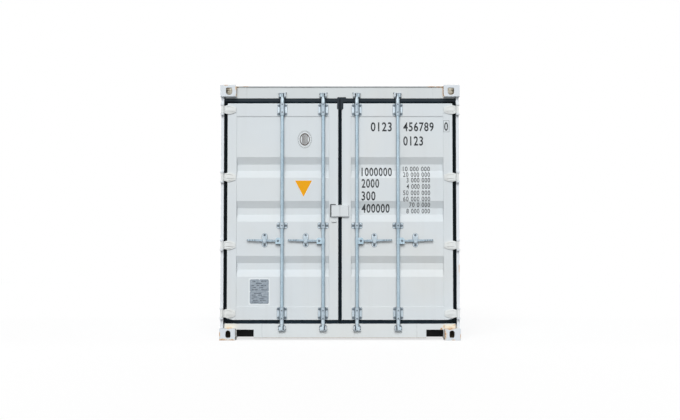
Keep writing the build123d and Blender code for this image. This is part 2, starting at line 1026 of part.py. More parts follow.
def hinge_blade(level):
    """A forged strap: a barrel on the pin, a cranked neck and a tapered, ribbed blade."""
    tip_x = leaf_edge - blade_reach
    strap_y = leaf_front_y - blade_sheet
    tip_y = leaf_front_y - blade_tip_sheet
    with BuildPart() as blade:
        with BuildSketch(Plane.XY.offset(level - blade_height / 2)):
            with BuildLine():
                Polyline(
                    (pin_x - barrel_radius / 3, pin_y),
                    (pin_x - neck_front[0], pin_y + neck_front[1]),
                    (pin_x - neck_turn, strap_y),
                    (tip_x, tip_y),
                    (tip_x, leaf_front_y),
                    (pin_x - neck_turn - neck_sheet, leaf_front_y),
                    (pin_x - neck_turn + neck_back[0], strap_y),
                    (pin_x - neck_back[0], pin_y + neck_back[1]),
                    close=True,
                )
            make_face()
            with Locations((pin_x, pin_y)):
                Circle(barrel_radius)
                Circle(pin_radius + pin_fit, mode=Mode.SUBTRACT)
        extrude(amount=blade_height)
        with BuildSketch(across(leaf_front)):
            with BuildLine():
                root_x = leaf_edge - blade_sheet
                swell_z = (blade_height + blade_tip_height) / 4 + blade_swell
                back = [
                    (root_x, level + blade_height / 2),
                    (leaf_edge, level + blade_height / 2),
                    (pin_x - blade_flare, level + knuckle_height / 2),
                    (pin_x + barrel_radius, level + knuckle_height / 2),
                ]
                back += [(x, 2 * level - z) for x, z in reversed(back)]
                Polyline(*back)
                for edge in (-1, 1):
                    ThreePointArc(
                        (root_x, level + edge * blade_height / 2),
                        ((root_x + tip_x) / 2, level + edge * swell_z),
                        (tip_x, level + edge * blade_tip_height / 2),
                    )
                Line(
                    (tip_x, level - blade_tip_height / 2), (tip_x, level + blade_tip_height / 2)
                )
            make_face()
        extrude(amount=leaf_front, mode=Mode.INTERSECT)
        with BuildSketch(Plane.XY.offset(level - blade_rib_height / 2)):
            with BuildLine():
                Polyline(
                    (pin_x - neck_turn, strap_y),
                    (leaf_edge, strap_y - blade_rib),
                    (tip_x + blade_rib_height, strap_y),
                    (tip_x, tip_y),
                    (tip_x, leaf_front_y),
                    (leaf_edge, leaf_front_y),
                    close=True,
                )
            make_face()
        extrude(amount=blade_rib_height)
    return blade.part


lowest_hinge = leaf_low + hinge_inset
hinge_pitch = (leaf_high - leaf_low - 2 * hinge_inset) / (hinge_count - 1)
hinge_levels = [lowest_hinge + i * hinge_pitch for i in range(hinge_count)]
right_lugs = group([hinge_lugs(level) for level in hinge_levels])
save(group([right_lugs, twin(right_lugs)]), "door_hinge_lugs")
right_blades = group([hinge_blade(level) for level in hinge_levels])
save(right_blades, "right_hinge_blades")
save(twin(right_blades), "left_hinge_blades")


# Rod brackets: a plate on the leaf with a raised bow over the rod
def bracket(x, level, wide, tall, base):
    """A bracket whose plate lies on the surface at depth base."""
    bow = rod_radius + rod_fit + bracket_wall
    plate_y = end_y + base - bracket_plate
    with BuildPart() as part:
        with BuildSketch(Plane.XY.offset(level - tall / 2)):
            with BuildLine():
                Polyline(
                    (x - bow, rod_y),
                    (x + bow, rod_y),
                    (x + bracket_foot / 2, plate_y),
                    (x - bracket_foot / 2, plate_y),
                    close=True,
                )
            make_face()
            with Locations((x, rod_y)):
                Circle(bow)
            with Locations((x, plate_y + bracket_plate / 2)):
                Rectangle(wide, bracket_plate)
            with Locations((x, rod_y)):
                Circle(rod_radius + rod_fit, mode=Mode.SUBTRACT)
        extrude(amount=tall)
        with BuildSketch(across(base)) as plate_face:
            with Locations((x, level)):
                Rectangle(wide, tall)
            chamfer(plate_face.vertices(), bracket_corner)
        extrude(amount=base, mode=Mode.INTERSECT)
    return part.part


right_brackets = []
for rod_x in rod_places:
    for level in (leaf_low + rail / 2, leaf_high - rail / 2):
        right_brackets.append(bracket(rod_x, level, bracket_width, bracket_height, leaf_front))
    right_brackets.append(bracket(rod_x, guide_level, guide_width, guide_height, panel_front))
right_brackets = group(right_brackets)
save(right_brackets, "right_rod_brackets")
save(twin(right_brackets), "left_rod_brackets")


# Lock rods: a tube with a forged socket and cam at each end and a forked hub for the handle
def lock_rod(x):
    """The rod at x on the right-hand leaf, with its hub on the hinge side."""
    nose_x = x + cam_reach - cam_nose_radius
    hub_low = handle_level - hub_height / 2
    with BuildPart() as rod:
        with Locations((x, rod_y, leaf_middle)):
            Cylinder(rod_radius, leaf_high - leaf_low)
        for end, leaf_end, cam_level in (
            (-1, leaf_low, sill_cam_level),
            (1, leaf_high, header_cam_level),
        ):
            with Locations((x, rod_y, leaf_end + end * socket_length / 2)):
                Cylinder(socket_radius, socket_length)
            cam_end = cam_level + end * cam_nose_height / 2
            with Locations((x, rod_y, (leaf_end + cam_end) / 2)):
                Cylinder(cam_radius, abs(cam_end - leaf_end))
            with BuildSketch(Plane.XY.offset(cam_level - cam_nose_height / 2)):
                with Locations((nose_x, rod_y)):
                    Circle(cam_nose_radius)
                with Locations(((x + nose_x) / 2, rod_y)):
                    Rectangle(nose_x - x, 2 * cam_nose_radius)
            extrude(amount=cam_nose_height)
        with Locations((x, rod_y, handle_level)):
            Cylinder(hub_sleeve_radius, hub_height)
        block(
            x + rod_radius / 2,
            x + hub_reach,
            rod_y - hub_thickness / 2,
            rod_y + hub_thickness / 2,
            hub_low,
            hub_low + hub_height,
        )
        hub_head = rod.edges().filter_by(Axis.Y).group_by(Axis.X)[-1].sort_by(Axis.Z)[-1]
        chamfer(hub_head, hub_corner)
        block(
            x + hub_slot_start,
            x + hub_reach,
            rod_y - hub_slot / 2,
            rod_y + hub_slot / 2,
            hub_low,
            hub_low + hub_height,
            mode=Mode.SUBTRACT,
        )
        with BuildSketch(across(rod_depth + hub_slot / 2)):
            with Locations((x + handle_pivot, handle_level)):
                Circle(handle_pin_radius)
        extrude(amount=hub_slot)
    return rod.part


# Handles: a flat forged bar that turns on the hub's pin, with a hasp in front of its retainer
def bar_centre(reach):
    """Level of the bar's middle line at a distance from the rod's axis."""
    rise = handle_rise * (reach - handle_pivot) / (handle_reach - handle_pivot)
    return handle_level + rise


def bar_half(reach):
    """Half the height of the bar's grip at a distance from the rod's axis."""
    share = (reach - handle_grip_start) / (handle_reach - handle_grip_start)
    return (handle_grip_height + (handle_tip_height - handle_grip_height) * share) / 2


def handle(x):
    """The handle of the rod at x on the right-hand leaf."""
    stations = (
        (handle_pivot, handle_neck_height / 2),
        (handle_grip_start - handle_eye, handle_neck_height / 2),
        (handle_grip_start, bar_half(handle_grip_start)),
        (handle_reach, bar_half(handle_reach)),
    )
    upper = [(x + reach, bar_centre(reach) + half) for reach, half in stations]
    lower = [(x + reach, bar_centre(reach) - half) for reach, half in reversed(stations)]
    with BuildPart() as bar:
        with BuildSketch(across(rod_depth + handle_thickness / 2)) as outline:
            with BuildLine():
                Polyline(*upper, *lower, close=True)
            make_face()
            chamfer(outline.vertices().group_by(Axis.X)[-1], handle_tip_height / 4)
            with Locations((x + handle_pivot, handle_level)):
                Circle(handle_eye)
                Circle(handle_pin_radius + pin_fit, mode=Mode.SUBTRACT)
        extrude(amount=handle_thickness)
        with BuildSketch(across(rod_depth - handle_thickness / 2)):
            with Locations((x + hasp_place, handle_level + hasp_offset)):
                SlotOverall(hasp_height, hasp_width, rotation=90)
        extrude(amount=hasp_sheet)
    return bar.part


# Handle retainers: an oval plate on the panel with a shelf for the handle and a seal's eye
def retainer(x):
    """The retainer for the handle of the rod at x."""
    place = x + hasp_place
    middle = handle_level + retainer_offset
    inner_reach = hasp_place - retainer_shelf_width / 2
    shelf_top = bar_centre(inner_reach) - bar_half(inner_reach) - retainer_rest
    with BuildPart() as part:
        with BuildSketch(across(panel_front)):
            with Locations((place, middle)):
                SlotOverall(retainer_height, retainer_width, rotation=90)
            with Locations((place, middle - retainer_eye_drop)):
                Circle(retainer_eye_radius, mode=Mode.SUBTRACT)
        extrude(amount=retainer_plate)
        block(
            place - retainer_shelf_width / 2,
            place + retainer_shelf_width / 2,
            end_y + retainer_shelf_front,
            end_y + panel_front,
            shelf_top - retainer_shelf,
            shelf_top,
        )
    return part.part


for place_name, rod_x in zip(("inner", "outer"), rod_places):
    rod_part = lock_rod(rod_x)
    handle_part = handle(rod_x)
    save(rod_part, f"right_{place_name}_rod")
    save(twin(rod_part), f"left_{place_name}_rod")
    save(handle_part, f"right_{place_name}_handle")
    save(twin(handle_part), f"left_{place_name}_handle")
right_retainers = group([retainer(x) for x in rod_places])
save(right_retainers, "right_handle_retainers")
save(twin(right_retainers), "left_handle_retainers")


# Lock plate: a shallow pan over the meeting line, half on each leaf
with BuildPart() as lock_plate:
    lock_plate_depth = leaf_front - lock_plate_front
    with BuildSketch(across(leaf_front)):
        with Locations((0, leaf_middle + lock_plate_offset)):
            Rectangle(lock_plate_width, lock_plate_height)
    extrude(amount=lock_plate_depth, taper=lock_plate_taper)
    with BuildSketch(across(leaf_front)):
        with Locations((0, leaf_middle + lock_plate_offset)):
            Rectangle(
                lock_plate_width - 2 * lock_plate_sheet, lock_plate_height - 2 * lock_plate_sheet
            )
    extrude(
        amount=lock_plate_depth - lock_plate_sheet,
        taper=lock_plate_taper,
        mode=Mode.SUBTRACT,
    )
    block(
        -lock_plate_width,
        lock_plate_seam / 2,
        end_y,
        end_y + leaf_front,
        leaf_low,
        leaf_high,
        mode=Mode.SUBTRACT,
    )
save(lock_plate.part, "right_lock_plate")
save(twin(lock_plate.part), "left_lock_plate")


# Data plate on the left-hand leaf: one sheet with two fields, cut corners and nicked edges
with BuildPart() as data_plate:
    with BuildSketch(across(panel_front)) as plate_outline:
        with Locations((data_plate_inset - leaf_edge, data_plate_level)):
            Rectangle(data_plate_width, data_plate_height)
            chamfer(plate_outline.vertices(), data_plate_nick)
            with Locations(
                (-data_plate_width / 2, 0),
                (data_plate_width / 2, 0),
                (0, data_plate_height / 2),
            ):
                Rectangle(data_plate_nick, data_plate_nick, rotation=45, mode=Mode.SUBTRACT)
    extrude(amount=data_plate_sheet)
save(data_plate.part, "data_plate")
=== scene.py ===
"""Looks of a twenty-foot steel shipping container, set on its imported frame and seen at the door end."""

import math

import bmesh
import bpy
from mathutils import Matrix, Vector


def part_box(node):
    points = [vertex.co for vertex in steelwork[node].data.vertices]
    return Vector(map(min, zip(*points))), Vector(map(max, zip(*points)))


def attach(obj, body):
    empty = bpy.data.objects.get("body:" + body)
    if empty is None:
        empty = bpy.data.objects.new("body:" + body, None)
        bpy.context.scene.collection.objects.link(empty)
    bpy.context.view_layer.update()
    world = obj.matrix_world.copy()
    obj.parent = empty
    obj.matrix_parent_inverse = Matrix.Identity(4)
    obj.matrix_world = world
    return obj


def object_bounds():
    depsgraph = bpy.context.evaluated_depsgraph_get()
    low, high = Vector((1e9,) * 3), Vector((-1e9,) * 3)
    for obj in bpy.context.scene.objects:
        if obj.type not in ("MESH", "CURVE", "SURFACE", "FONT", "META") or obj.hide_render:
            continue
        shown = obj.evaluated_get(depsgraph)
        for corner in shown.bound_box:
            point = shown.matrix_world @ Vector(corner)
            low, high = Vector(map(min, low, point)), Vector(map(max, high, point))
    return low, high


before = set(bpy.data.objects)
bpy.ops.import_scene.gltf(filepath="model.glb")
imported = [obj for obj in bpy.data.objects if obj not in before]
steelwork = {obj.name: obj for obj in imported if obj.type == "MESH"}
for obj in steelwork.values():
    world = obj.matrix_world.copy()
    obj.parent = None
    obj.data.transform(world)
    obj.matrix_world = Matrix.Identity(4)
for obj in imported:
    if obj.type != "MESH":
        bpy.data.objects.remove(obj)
cad_low, cad_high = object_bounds()
door_y = cad_low.y


# Welded box of corrugated weathering steel, sprayed with one pale grey paint inside and out.
# The paint is a little chalky, with broad patches, cream tints, faint runs below each ledge and
# fine orange peel, and every folded edge is rounded by the coat.
def feed(tree, inputs, values):
    """Gives each input its value, or the socket that feeds it."""
    for key, value in values.items():
        if isinstance(value, bpy.types.NodeSocket):
            tree.links.new(value, inputs[key])
        else:
            inputs[key].default_value = value


def put(tree, kind, values={}, **settings):
    """Adds one node. A kind with no prefix is a shader node."""
    made = tree.nodes.new(kind if "Node" in kind else "ShaderNode" + kind)
    for key, value in settings.items():
        setattr(made, key, value)
    feed(tree, made.inputs, values)
    return made


def use(tree, group, **values):
    """Adds a node group to a tree."""
    return put(tree, "Group", values, node_tree=group).outputs


def blend(tree, share, first, second):
    """The colour between two, by share."""
    return put(tree, "Mix", {0: share, 6: first, 7: second}, data_type="RGBA").outputs[2]


def reckon(tree, operation, first, second=0.0, **settings):
    """One step of arithmetic."""
    return put(tree, "Math", {0: first, 1: second}, operation=operation, **settings).outputs[0]


def times(tree, first, second):
    """The product of two values."""
    return reckon(tree, "MULTIPLY", first, second)


def vector(tree, operation, *terms, output="Vector"):
    """One step of arithmetic with vectors."""
    return put(tree, "VectorMath", dict(enumerate(terms)), operation=operation).outputs[output]


def stretch(tree, value, low, high, to_low=0.0, to_high=1.0):
    """A value mapped from one range to another, and held inside it."""
    ends = {"Value": value, "From Min": low, "From Max": high, "To Min": to_low, "To Max": to_high}
    return put(tree, "MapRange", ends).outputs[0]


def object_place(tree, source="Object"):
    """Where a point lies on the container, or which way it faces."""
    return put(tree, "TexCoord").outputs[source]


def scaled(tree, place, scale):
    """A place stretched along each axis."""
    return put(tree, "Mapping", {"Vector": place, "Scale": scale}).outputs[0]


def noise(tree, place, scale, detail, **more):
    """Noise at a place, from 0 to 1. More names other inputs."""
    return put(tree, "TexNoise", {"Vector": place, "Scale": scale, "Detail": detail, **more}).outputs["Fac"]


def ramp(tree, share, first, start, second, end):
    """A colour that is the first up to start and the second from end on."""
    made = put(tree, "ValToRGB", {"Fac": share})
    for stop, position, colour in zip(made.color_ramp.elements, (start, end), (first, second)):
        stop.position = position
        stop.color = colour
    return made.outputs[0]


def bump(tree, strength, distance, height, normal=None, **settings):
    """The normal of a surface with fine relief, on top of another normal if one is given."""
    values = {"Strength": strength, "Distance": distance, "Height": height}
    if normal is not None:
        values["Normal"] = normal
    return put(tree, "Bump", values, **settings).outputs[0]


def effect(name, inputs, outputs):
    """An empty node group for an effect, with its inner ends."""
    group = bpy.data.node_groups.new(name, "ShaderNodeTree")
    for way, sockets in (("INPUT", inputs), ("OUTPUT", outputs)):
        for label, kind in sockets.items():
            group.interface.new_socket(label, in_out=way, socket_type="NodeSocket" + kind)
    return group, group.nodes.new("NodeGroupInput").outputs, group.nodes.new("NodeGroupOutput").inputs


def linear(red, green, blue):
    """A colour as a screen shows it, from 0 to 255, as the value that Blender stores."""
    shares = [c / 255 for c in (red, green, blue)]
    return [s / 12.92 if s <= 0.04045 else ((s + 0.055) / 1.055) ** 2.4 for s in shares] + [1]


coat, coat_in, coat_out = effect(
    "paint_coat",
    {"Paint": "Color", "Patches": "Float", "Cream": "Float", "Runs": "Float"},
    {"Color": "Color", "Roughness": "Float", "Height": "Float"},
)
place = object_place(coat)
patches = noise(coat, place, 1.7, 3.0)
tint = noise(coat, place, 0.9, 4.0, Distortion=0.8)
runs = noise(coat, scaled(coat, place, (16, 16, 0.7)), 1.0, 4.0)
run_share = times(coat, stretch(coat, runs, 0.52, 0.8), coat_in["Runs"])
patch_share = times(coat, stretch(coat, patches, 0.3, 0.7, -1.0), coat_in["Patches"])
patch_factor = reckon(coat, "ADD", patch_share, 1.0)
cream_share = times(coat, stretch(coat, tint, 0.45, 0.75), coat_in["Cream"])
creamed = blend(coat, cream_share, coat_in["Paint"], linear(228, 222, 210))
toned = put(coat, "VectorMath", {0: creamed, "Scale": patch_factor}, operation="SCALE").outputs[0]
feed(
    coat,
    coat_out,
    {
        "Color": blend(coat, run_share, toned, linear(150, 138, 118)),
        "Roughness": stretch(coat, patches, 0.3, 0.7, 0.42, 0.55),
        "Height": noise(coat, place, 140.0, 2.0),
    },
)

edges, edges_in, edges_out = effect(
    "rounded_edges", {"Radius": "Float"}, {"Edge": "Float", "Worn": "Float", "Normal": "Vector"}
)
rounding = put(edges, "Bevel", {"Radius": edges_in["Radius"]}, samples=6).outputs[0]
flat_normal = put(edges, "NewGeometry").outputs["Normal"]
bend = vector(edges, "DOT_PRODUCT", rounding, flat_normal, output="Value")
edge_mask = stretch(edges, bend, 0.995, 0.86)
breakup = noise(edges, object_place(edges), 45.0, 4.0)
worn_edge = times(edges, edge_mask, stretch(edges, breakup, 0.5, 0.68))
feed(edges, edges_out, {"Edge": edge_mask, "Worn": worn_edge, "Normal": rounding})

# Painted shade: folds, corners and nooks, found by ambient occlusion, are darkened a little unevenly towards
# a shade tone.
shaded_creases, shaded_creases_in, shaded_creases_out = effect(
    "dirt_in_creases", {"Under": "Color", "Dirt": "Color", "Share": "Float"}, {"Color": "Color"}
)
nook = put(shaded_creases, "AmbientOcclusion", {"Distance": 0.03}, samples=8).outputs["AO"]
uneven = stretch(shaded_creases, noise(shaded_creases, object_place(shaded_creases), 30.0, 3.0), 0.3, 0.7, 0.7, 1.0)
crease_share = times(shaded_creases, stretch(shaded_creases, nook, 0.85, 0.35), uneven)
shade_share = times(shaded_creases, crease_share, shaded_creases_in["Share"])
feed(shaded_creases, shaded_creases_out, {"Color": blend(shaded_creases, shade_share, shaded_creases_in["Under"], shaded_creases_in["Dirt"])})

rust, rust_in, rust_out = effect(
    "rust",
    {"Under": "Color", "Spots": "Float", "Edge": "Float", "Worn": "Float", "Roughness": "Float"},
    {"Color": "Color", "Roughness": "Float", "Height": "Float"},
)
rust_place = object_place(rust)
blotches = noise(rust, rust_place, 48.0, 6.0, Roughness=0.65)
spot_share = times(rust, rust_in["Spots"], stretch(rust, rust_in["Edge"], 0.0, 1.0, 0.62, 0.95))
rust_sum = reckon(rust, "ADD", reckon(rust, "MAXIMUM", spot_share, rust_in["Worn"]), blotches)
rust_mask = stretch(rust, rust_sum, 0.98, 1.2, 0.0, 0.9)
stain_mask = stretch(rust, rust_sum, 0.68, 1.05, 0.0, 0.7)
grains = noise(rust, rust_place, 190.0, 3.0)
tones = ramp(rust, grains, linear(156, 98, 56), 0.35, linear(222, 166, 108), 0.65)
stained = blend(rust, stain_mask, rust_in["Under"], linear(230, 202, 164))
rough = put(rust, "Mix", {0: rust_mask, 2: rust_in["Roughness"], 3: 0.9}, data_type="FLOAT").outputs[0]
rusted = blend(rust, rust_mask, stained, tones)
feed(rust, rust_out, {"Color": rusted, "Roughness": rough, "Height": rust_mask})

spot, spot_in, spot_out = effect(
    "near_a_spot", {"Place": "Vector", "Reach": "Vector", "Others": "Float"}, {"Mask": "Float"}
)
spot_way = vector(spot, "SUBTRACT", object_place(spot), spot_in["Place"])
spot_away = vector(spot, "LENGTH", vector(spot, "MULTIPLY", spot_way, spot_in["Reach"]), output="Value")
spot_mask = stretch(spot, spot_away, 0.3, 1.0, 1.0, 0.0)
feed(spot, spot_out, {"Mask": reckon(spot, "MAXIMUM", spot_mask, spot_in["Others"])})


def spots_mask(tree, spots):
    """Where a spot is near. A spot is how far right, back and up it is, and how far it reaches."""
    near = 0.0
    for right, back, up, wide, tall in spots:
        reach = (1 / wide, 1 / max(wide, tall), 1 / tall)
        near = use(tree, spot, Place=(right, door_y + back, up), Reach=reach, Others=near)["Mask"]
    return near


def new_finish(name):
    """A new material, its node tree and its shader's inputs."""
    finish = bpy.data.materials.new(name)
    finish.use_nodes = True
    return finish, finish.node_tree, finish.node_tree.nodes["Principled BSDF"].inputs


def painted(name, colour, patches=0.02, cream=0.2, runs=0.05, radius=0.004, wear=0.0, spots=(), crease_shade=0.4):
    """A painted steel finish with rounded edges, worn where wear is over 0 and rusty near the spots."""
    finish, tree, shader = new_finish(name)
    paint = use(tree, coat, Paint=linear(*colour), Patches=patches, Cream=cream, Runs=runs)
    rounded = use(tree, edges, Radius=radius)
    # Painted shade: the paint is darkened towards a tan grey in folds and corners.
    rusty = use(
        tree,
        rust,
        Under=use(tree, shaded_creases, Under=paint["Color"], Dirt=linear(176, 168, 156), Share=crease_shade)["Color"],
        Spots=spots_mask(tree, spots),
        Edge=rounded["Edge"],
        Worn=times(tree, rounded["Worn"], wear),
        Roughness=paint["Roughness"],
    )
    peel = bump(tree, 0.12, 0.0006, paint["Height"], rounded["Normal"])
    feed(
        tree,
        shader,
        {
            "Base Color": rusty["Color"],
            "Roughness": rusty["Roughness"],
            "Normal": bump(tree, 0.5, 0.0008, rusty["Height"], peel),
            "Specular IOR Level": 0.25,
        },
    )
    return finish


def both(*names):
    """The left-hand and the right-hand piece of each name."""
    return [f"{side}_{name}" for side in ("left", "right") for name in names]


def coat_nodes(finish, *names):
    """Gives carried-over steelwork its finish."""
    for name in names:
        for slot in steelwork[name].material_slots:
            slot.link = "OBJECT"
            slot.material = finish


box_paint = painted("box_paint", (216, 223, 227), crease_shade=0.2)
coat_nodes(box_paint, *both("side_wall", "door_frame", "door_panel", "lock_plate"))
coat_nodes(box_paint, "front_wall", "roof_panel", "roof_corner_plates", "top_side_rails", "front_top_rail")
coat_nodes(box_paint, "side_vents")


# Underframe: rolled channels and folded tunnels under the floor, coated with dark wax
# against spray, and bottom rails in the box's own paint with chipped lower flanges.
rail_paint = painted("rail_paint", (214, 220, 223), runs=0.12, wear=0.75)
coat_nodes(rail_paint, "bottom_side_rails", "front_bottom_rail")
underseal = painted("underseal", (58, 60, 62), patches=0.18, cream=0.05, runs=0.2, wear=0.6)
coat_nodes(underseal, "cross_members", "fork_pockets")


# Floor: large sheets of hardwood plywood, oiled brown and butted with a thin joint,
# with the face grain and the dark scuffs of loading along the container.
plywood, ply, ply_shader = new_finish("floor_plywood")
ply_place = object_place(ply)
ply_grain = noise(ply, scaled(ply, ply_place, (60, 2.2, 60)), 1.0, 6.0, Distortion=0.6)
ply_tones = ramp(ply, ply_grain, linear(98, 66, 44), 0.3, linear(150, 108, 74), 0.72)
scuffs = noise(ply, scaled(ply, ply_place, (7, 0.5, 1)), 1.0, 5.0)
scuff_mask = stretch(ply, scuffs, 0.5, 0.75, 0.0, 0.6)
feed(
    ply,
    ply_shader,
    {
        "Base Color": blend(ply, scuff_mask, ply_tones, linear(72, 56, 46)),
        "Roughness": stretch(ply, ply_grain, 0.0, 1.0, 0.55, 0.8),
        "Normal": bump(ply, 0.4, 0.001, ply_grain),
    },
)
coat_nodes(plywood, "floor_boards")


# Corner castings: cast steel boxes, sprayed a cooler white than the walls, with the paint
# knocked off the lower edges by stacking. Inside, the upper ones are cream primer with rust and
# the lower ones are painted dark brown, for road grime and painted shade.
casting_wide, casting_tall = 0.162, 0.118
corner_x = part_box("top_corner_castings")[1].x
inner_x = corner_x - casting_wide
casting_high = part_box("top_corner_castings")[0].z
casting_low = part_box("bottom_corner_castings")[1].z
casting_spots = [
    (-corner_x + 0.055, 0, cad_high.z, 0.035, 0.012),
    (-inner_x, 0.01, casting_high + 0.012, 0.014, 0.03),
    (-inner_x, 0.01, cad_high.z - 0.03, 0.016, 0.04),
    (inner_x, 0.01, casting_high + 0.008, 0.02, 0.014),
    (-corner_x + 0.035, 0, 0.004, 0.085, 0.022),
    (-inner_x - 0.035, 0, 0.002, 0.06, 0.019),
    (-corner_x, 0.01, 0.06, 0.02, 0.05),
    (inner_x, 0.01, 0.06, 0.026, 0.085),
    (inner_x, 0.035, 0.06, 0.04, 0.085),
    (-inner_x - 0.075, 0.03, casting_low, 0.05, 0.02),
    (inner_x + 0.05, 0.005, casting_low, 0.085, 0.02),
    (inner_x + 0.09, 0, 0.003, 0.03, 0.012),
    (corner_x, 0, 0.04, 0.012, 0.04),
]
casting_paint = painted(
    "casting_paint",
    (219, 226, 232),
    cream=0.08,
    runs=0.06,
    radius=0.008,
    wear=0.35,
    spots=casting_spots,
    crease_shade=0.1,
)


def inside_boxes(tree, boxes):
    """How far a point lies in each box, given by its middle and half sizes; the corners are alike."""
    seen = vector(tree, "ABSOLUTE", object_place(tree))
    shares = []
    for middle, half in boxes:
        away = vector(tree, "ABSOLUTE", vector(tree, "SUBTRACT", seen, middle))
        parts = put(tree, "SeparateXYZ", {0: vector(tree, "DIVIDE", away, half)}).outputs
        largest = reckon(tree, "MAXIMUM", parts["X"], reckon(tree, "MAXIMUM", parts["Y"], parts["Z"]))
        shares.append(stretch(tree, largest, 1.03, 1.2, 1.0, 0.0))
    return shares


def lay_over(finish, share, colour):
    """Lays a colour over a finish, as far as the share says."""
    tree = finish.node_tree
    target = tree.nodes["Principled BSDF"].inputs["Base Color"]
    tree.links.new(blend(tree, share, target.links[0].from_socket, colour), target)


cast = casting_paint.node_tree
cavity_x, cavity_in = 1.1295, 0.1025
cavity_half = (0.0725, 0.0755, 0.046)
primed, lower_dirt_and_shade = inside_boxes(
    cast,
    [
        ((cavity_x, -door_y - cavity_in, level), cavity_half)
        for level in (cad_high.z - casting_tall / 2, casting_tall / 2)
    ],
)
cavity_noise = noise(cast, object_place(cast), 26.0, 4.0)
primer = ramp(cast, cavity_noise, linear(122, 92, 50), 0.4, linear(216, 211, 196), 0.5)
lay_over(casting_paint, primed, primer)
# The lower castings are painted dark brown inside: road grime and painted shade.
lay_over(casting_paint, lower_dirt_and_shade, blend(cast, cavity_noise, linear(40, 37, 29), linear(126, 114, 90)))
coat_nodes(casting_paint, "top_corner_castings", "bottom_corner_castings")


# Corner posts: hot-rolled inner and pressed outer sections, welded between the castings,
# with primer showing at the foot where water stands on the bottom casting.
post_spots = [
    (-1.13, 0.045, casting_low + 0.004, 0.045, 0.016),
    (1.14, 0.045, casting_low + 0.005, 0.09, 0.022),
    (corner_x - 0.01, 0.045, 0.72, 0.008, 0.09),
    (corner_x - 0.01, 0.045, 0.98, 0.006, 0.05),
]
post_paint = painted("post_paint", (225, 231, 236), cream=0.1, radius=0.006, wear=0.15, spots=post_spots)
coat_nodes(post_paint, "rear_corner_posts", "front_corner_posts", "door_hinge_lugs")


# Door frame: header and sill are welded plate boxes between the posts. Rust starts along the
# rain lip and at the cut ends: beside the right-hand casting, and on the sill at the notches, whose
# insides are painted near black as shade. The sill is creamier at its ends and bare along its lower edge.
frame_back = 0.056
header_spots = [
    (inner_x - 0.002, 0.05, 2.53, 0.012, 0.09),
    (inner_x - 0.012, 0.05, 2.577, 0.03, 0.016),
    (inner_x - 0.055, 0.048, 2.578, 0.04, 0.012),
    (inner_x - 0.12, 0.048, 2.58, 0.07, 0.009),
    (-inner_x + 0.012, 0.05, 2.578, 0.02, 0.009),
    (-inner_x + 0.09, 0.048, 2.581, 0.06, 0.004),
]
sill_spots = [
    (inner_x - 0.03, frame_back, 0.113, 0.022, 0.02),
    (inner_x - 0.002, frame_back, 0.135, 0.022, 0.034),
    (1.115, frame_back, 0.128, 0.1, 0.02),
    (1.16, frame_back, 0.15, 0.05, 0.02),
    (-1.125, frame_back, 0.124, 0.06, 0.018),
]


def along(tree, axis, source="Object"):
    """How far a point lies, or faces, along an axis."""
    return put(tree, "SeparateXYZ", {0: object_place(tree, source)}).outputs[axis]


frame_paint = painted("frame_paint", (212, 218, 220), cream=0.35, wear=0.1, spots=header_spots)
coat_nodes(frame_paint, "door_header")
sill_paint = painted("sill_paint", (221, 227, 229), cream=0.3, wear=0.15, spots=sill_spots)
sill = sill_paint.node_tree
cream_ends = spots_mask(sill, [(sign * 1.12, frame_back, 0.14, 0.11, 0.045) for sign in (-1, 1)])
lay_over(sill_paint, times(sill, cream_ends, 0.6), linear(243, 236, 214))
bare_edge = stretch(sill, along(sill, "Z"), 0.030, 0.024, 0.0, 0.55)
lay_over(sill_paint, bare_edge, linear(176, 158, 136))
# Painted shade: the insides of the sill's notches are painted near black.
notch_shade = inside_boxes(sill, [((0.961, -door_y - 0.13, 0.05), (0.090, 0.060, 0.058))])[0]
lay_over(sill_paint, notch_shade, linear(9, 9, 8))
coat_nodes(sill_paint, "door_sill")


# Door seals: extruded black rubber frames riveted round each leaf, with a double lip. Dust and
# painted light grey the front of the run along the top and the flap at the meeting line; the outer
# sides are painted darker, as shade.
rubber, skin, rubber_shader = new_finish("seal_rubber")
skin_place = object_place(skin)
skin_parts = put(skin, "SeparateXYZ", {0: skin_place}).outputs
dust = noise(skin, skin_place, 9.0, 5.0)
on_sides = stretch(skin, reckon(skin, "ABSOLUTE", skin_parts["X"]), 1.0, 1.14)
on_head = stretch(skin, skin_parts["Z"], 2.429, 2.434)
front_face = stretch(skin, skin_parts["Y"], door_y + 0.066, door_y + 0.0605)
on_flap = stretch(skin, skin_parts["Y"], door_y + 0.059, door_y + 0.055)
# Dust and painted light on the top run's front and the flap; the outer sides are painted darker as shade.
head_dust_and_light = times(skin, front_face, on_head)
flap_dust_and_light = times(skin, on_flap, reckon(skin, "SUBTRACT", 1.0, on_sides))
dust_and_light = reckon(skin, "MAXIMUM", head_dust_and_light, flap_dust_and_light)
dust_and_light_share = times(skin, dust_and_light, stretch(skin, dust, 0.3, 0.7, 0.75, 1.0))
bloom = blend(skin, stretch(skin, dust, 0.4, 0.75, 0.2, 0.8), linear(18, 28, 36), linear(40, 54, 62))
rubber_with_shaded_sides = blend(skin, times(skin, on_sides, 0.85), bloom, linear(6, 12, 14))
feed(
    skin,
    rubber_shader,
    {
        "Base Color": blend(skin, dust_and_light_share, rubber_with_shaded_sides, linear(53, 60, 66)),
        "Roughness": stretch(skin, dust, 0.0, 1.0, 0.55, 0.8),
        "Normal": bump(skin, 0.2, 0.0005, noise(skin, skin_place, 320.0, 2.0)),
        "Specular IOR Level": 0.06,
    },
)
coat_nodes(rubber, *both("door_seal"))


# Hinges: forged straps welded to the leaves and turning on pins between the post's lugs,
# brushed with a thicker, creamier coat than the leaves.
hinge_paint = painted("hinge_paint", (227, 231, 231), runs=0.1, radius=0.006, wear=0.12)
coat_nodes(hinge_paint, *both("hinge_blades"))
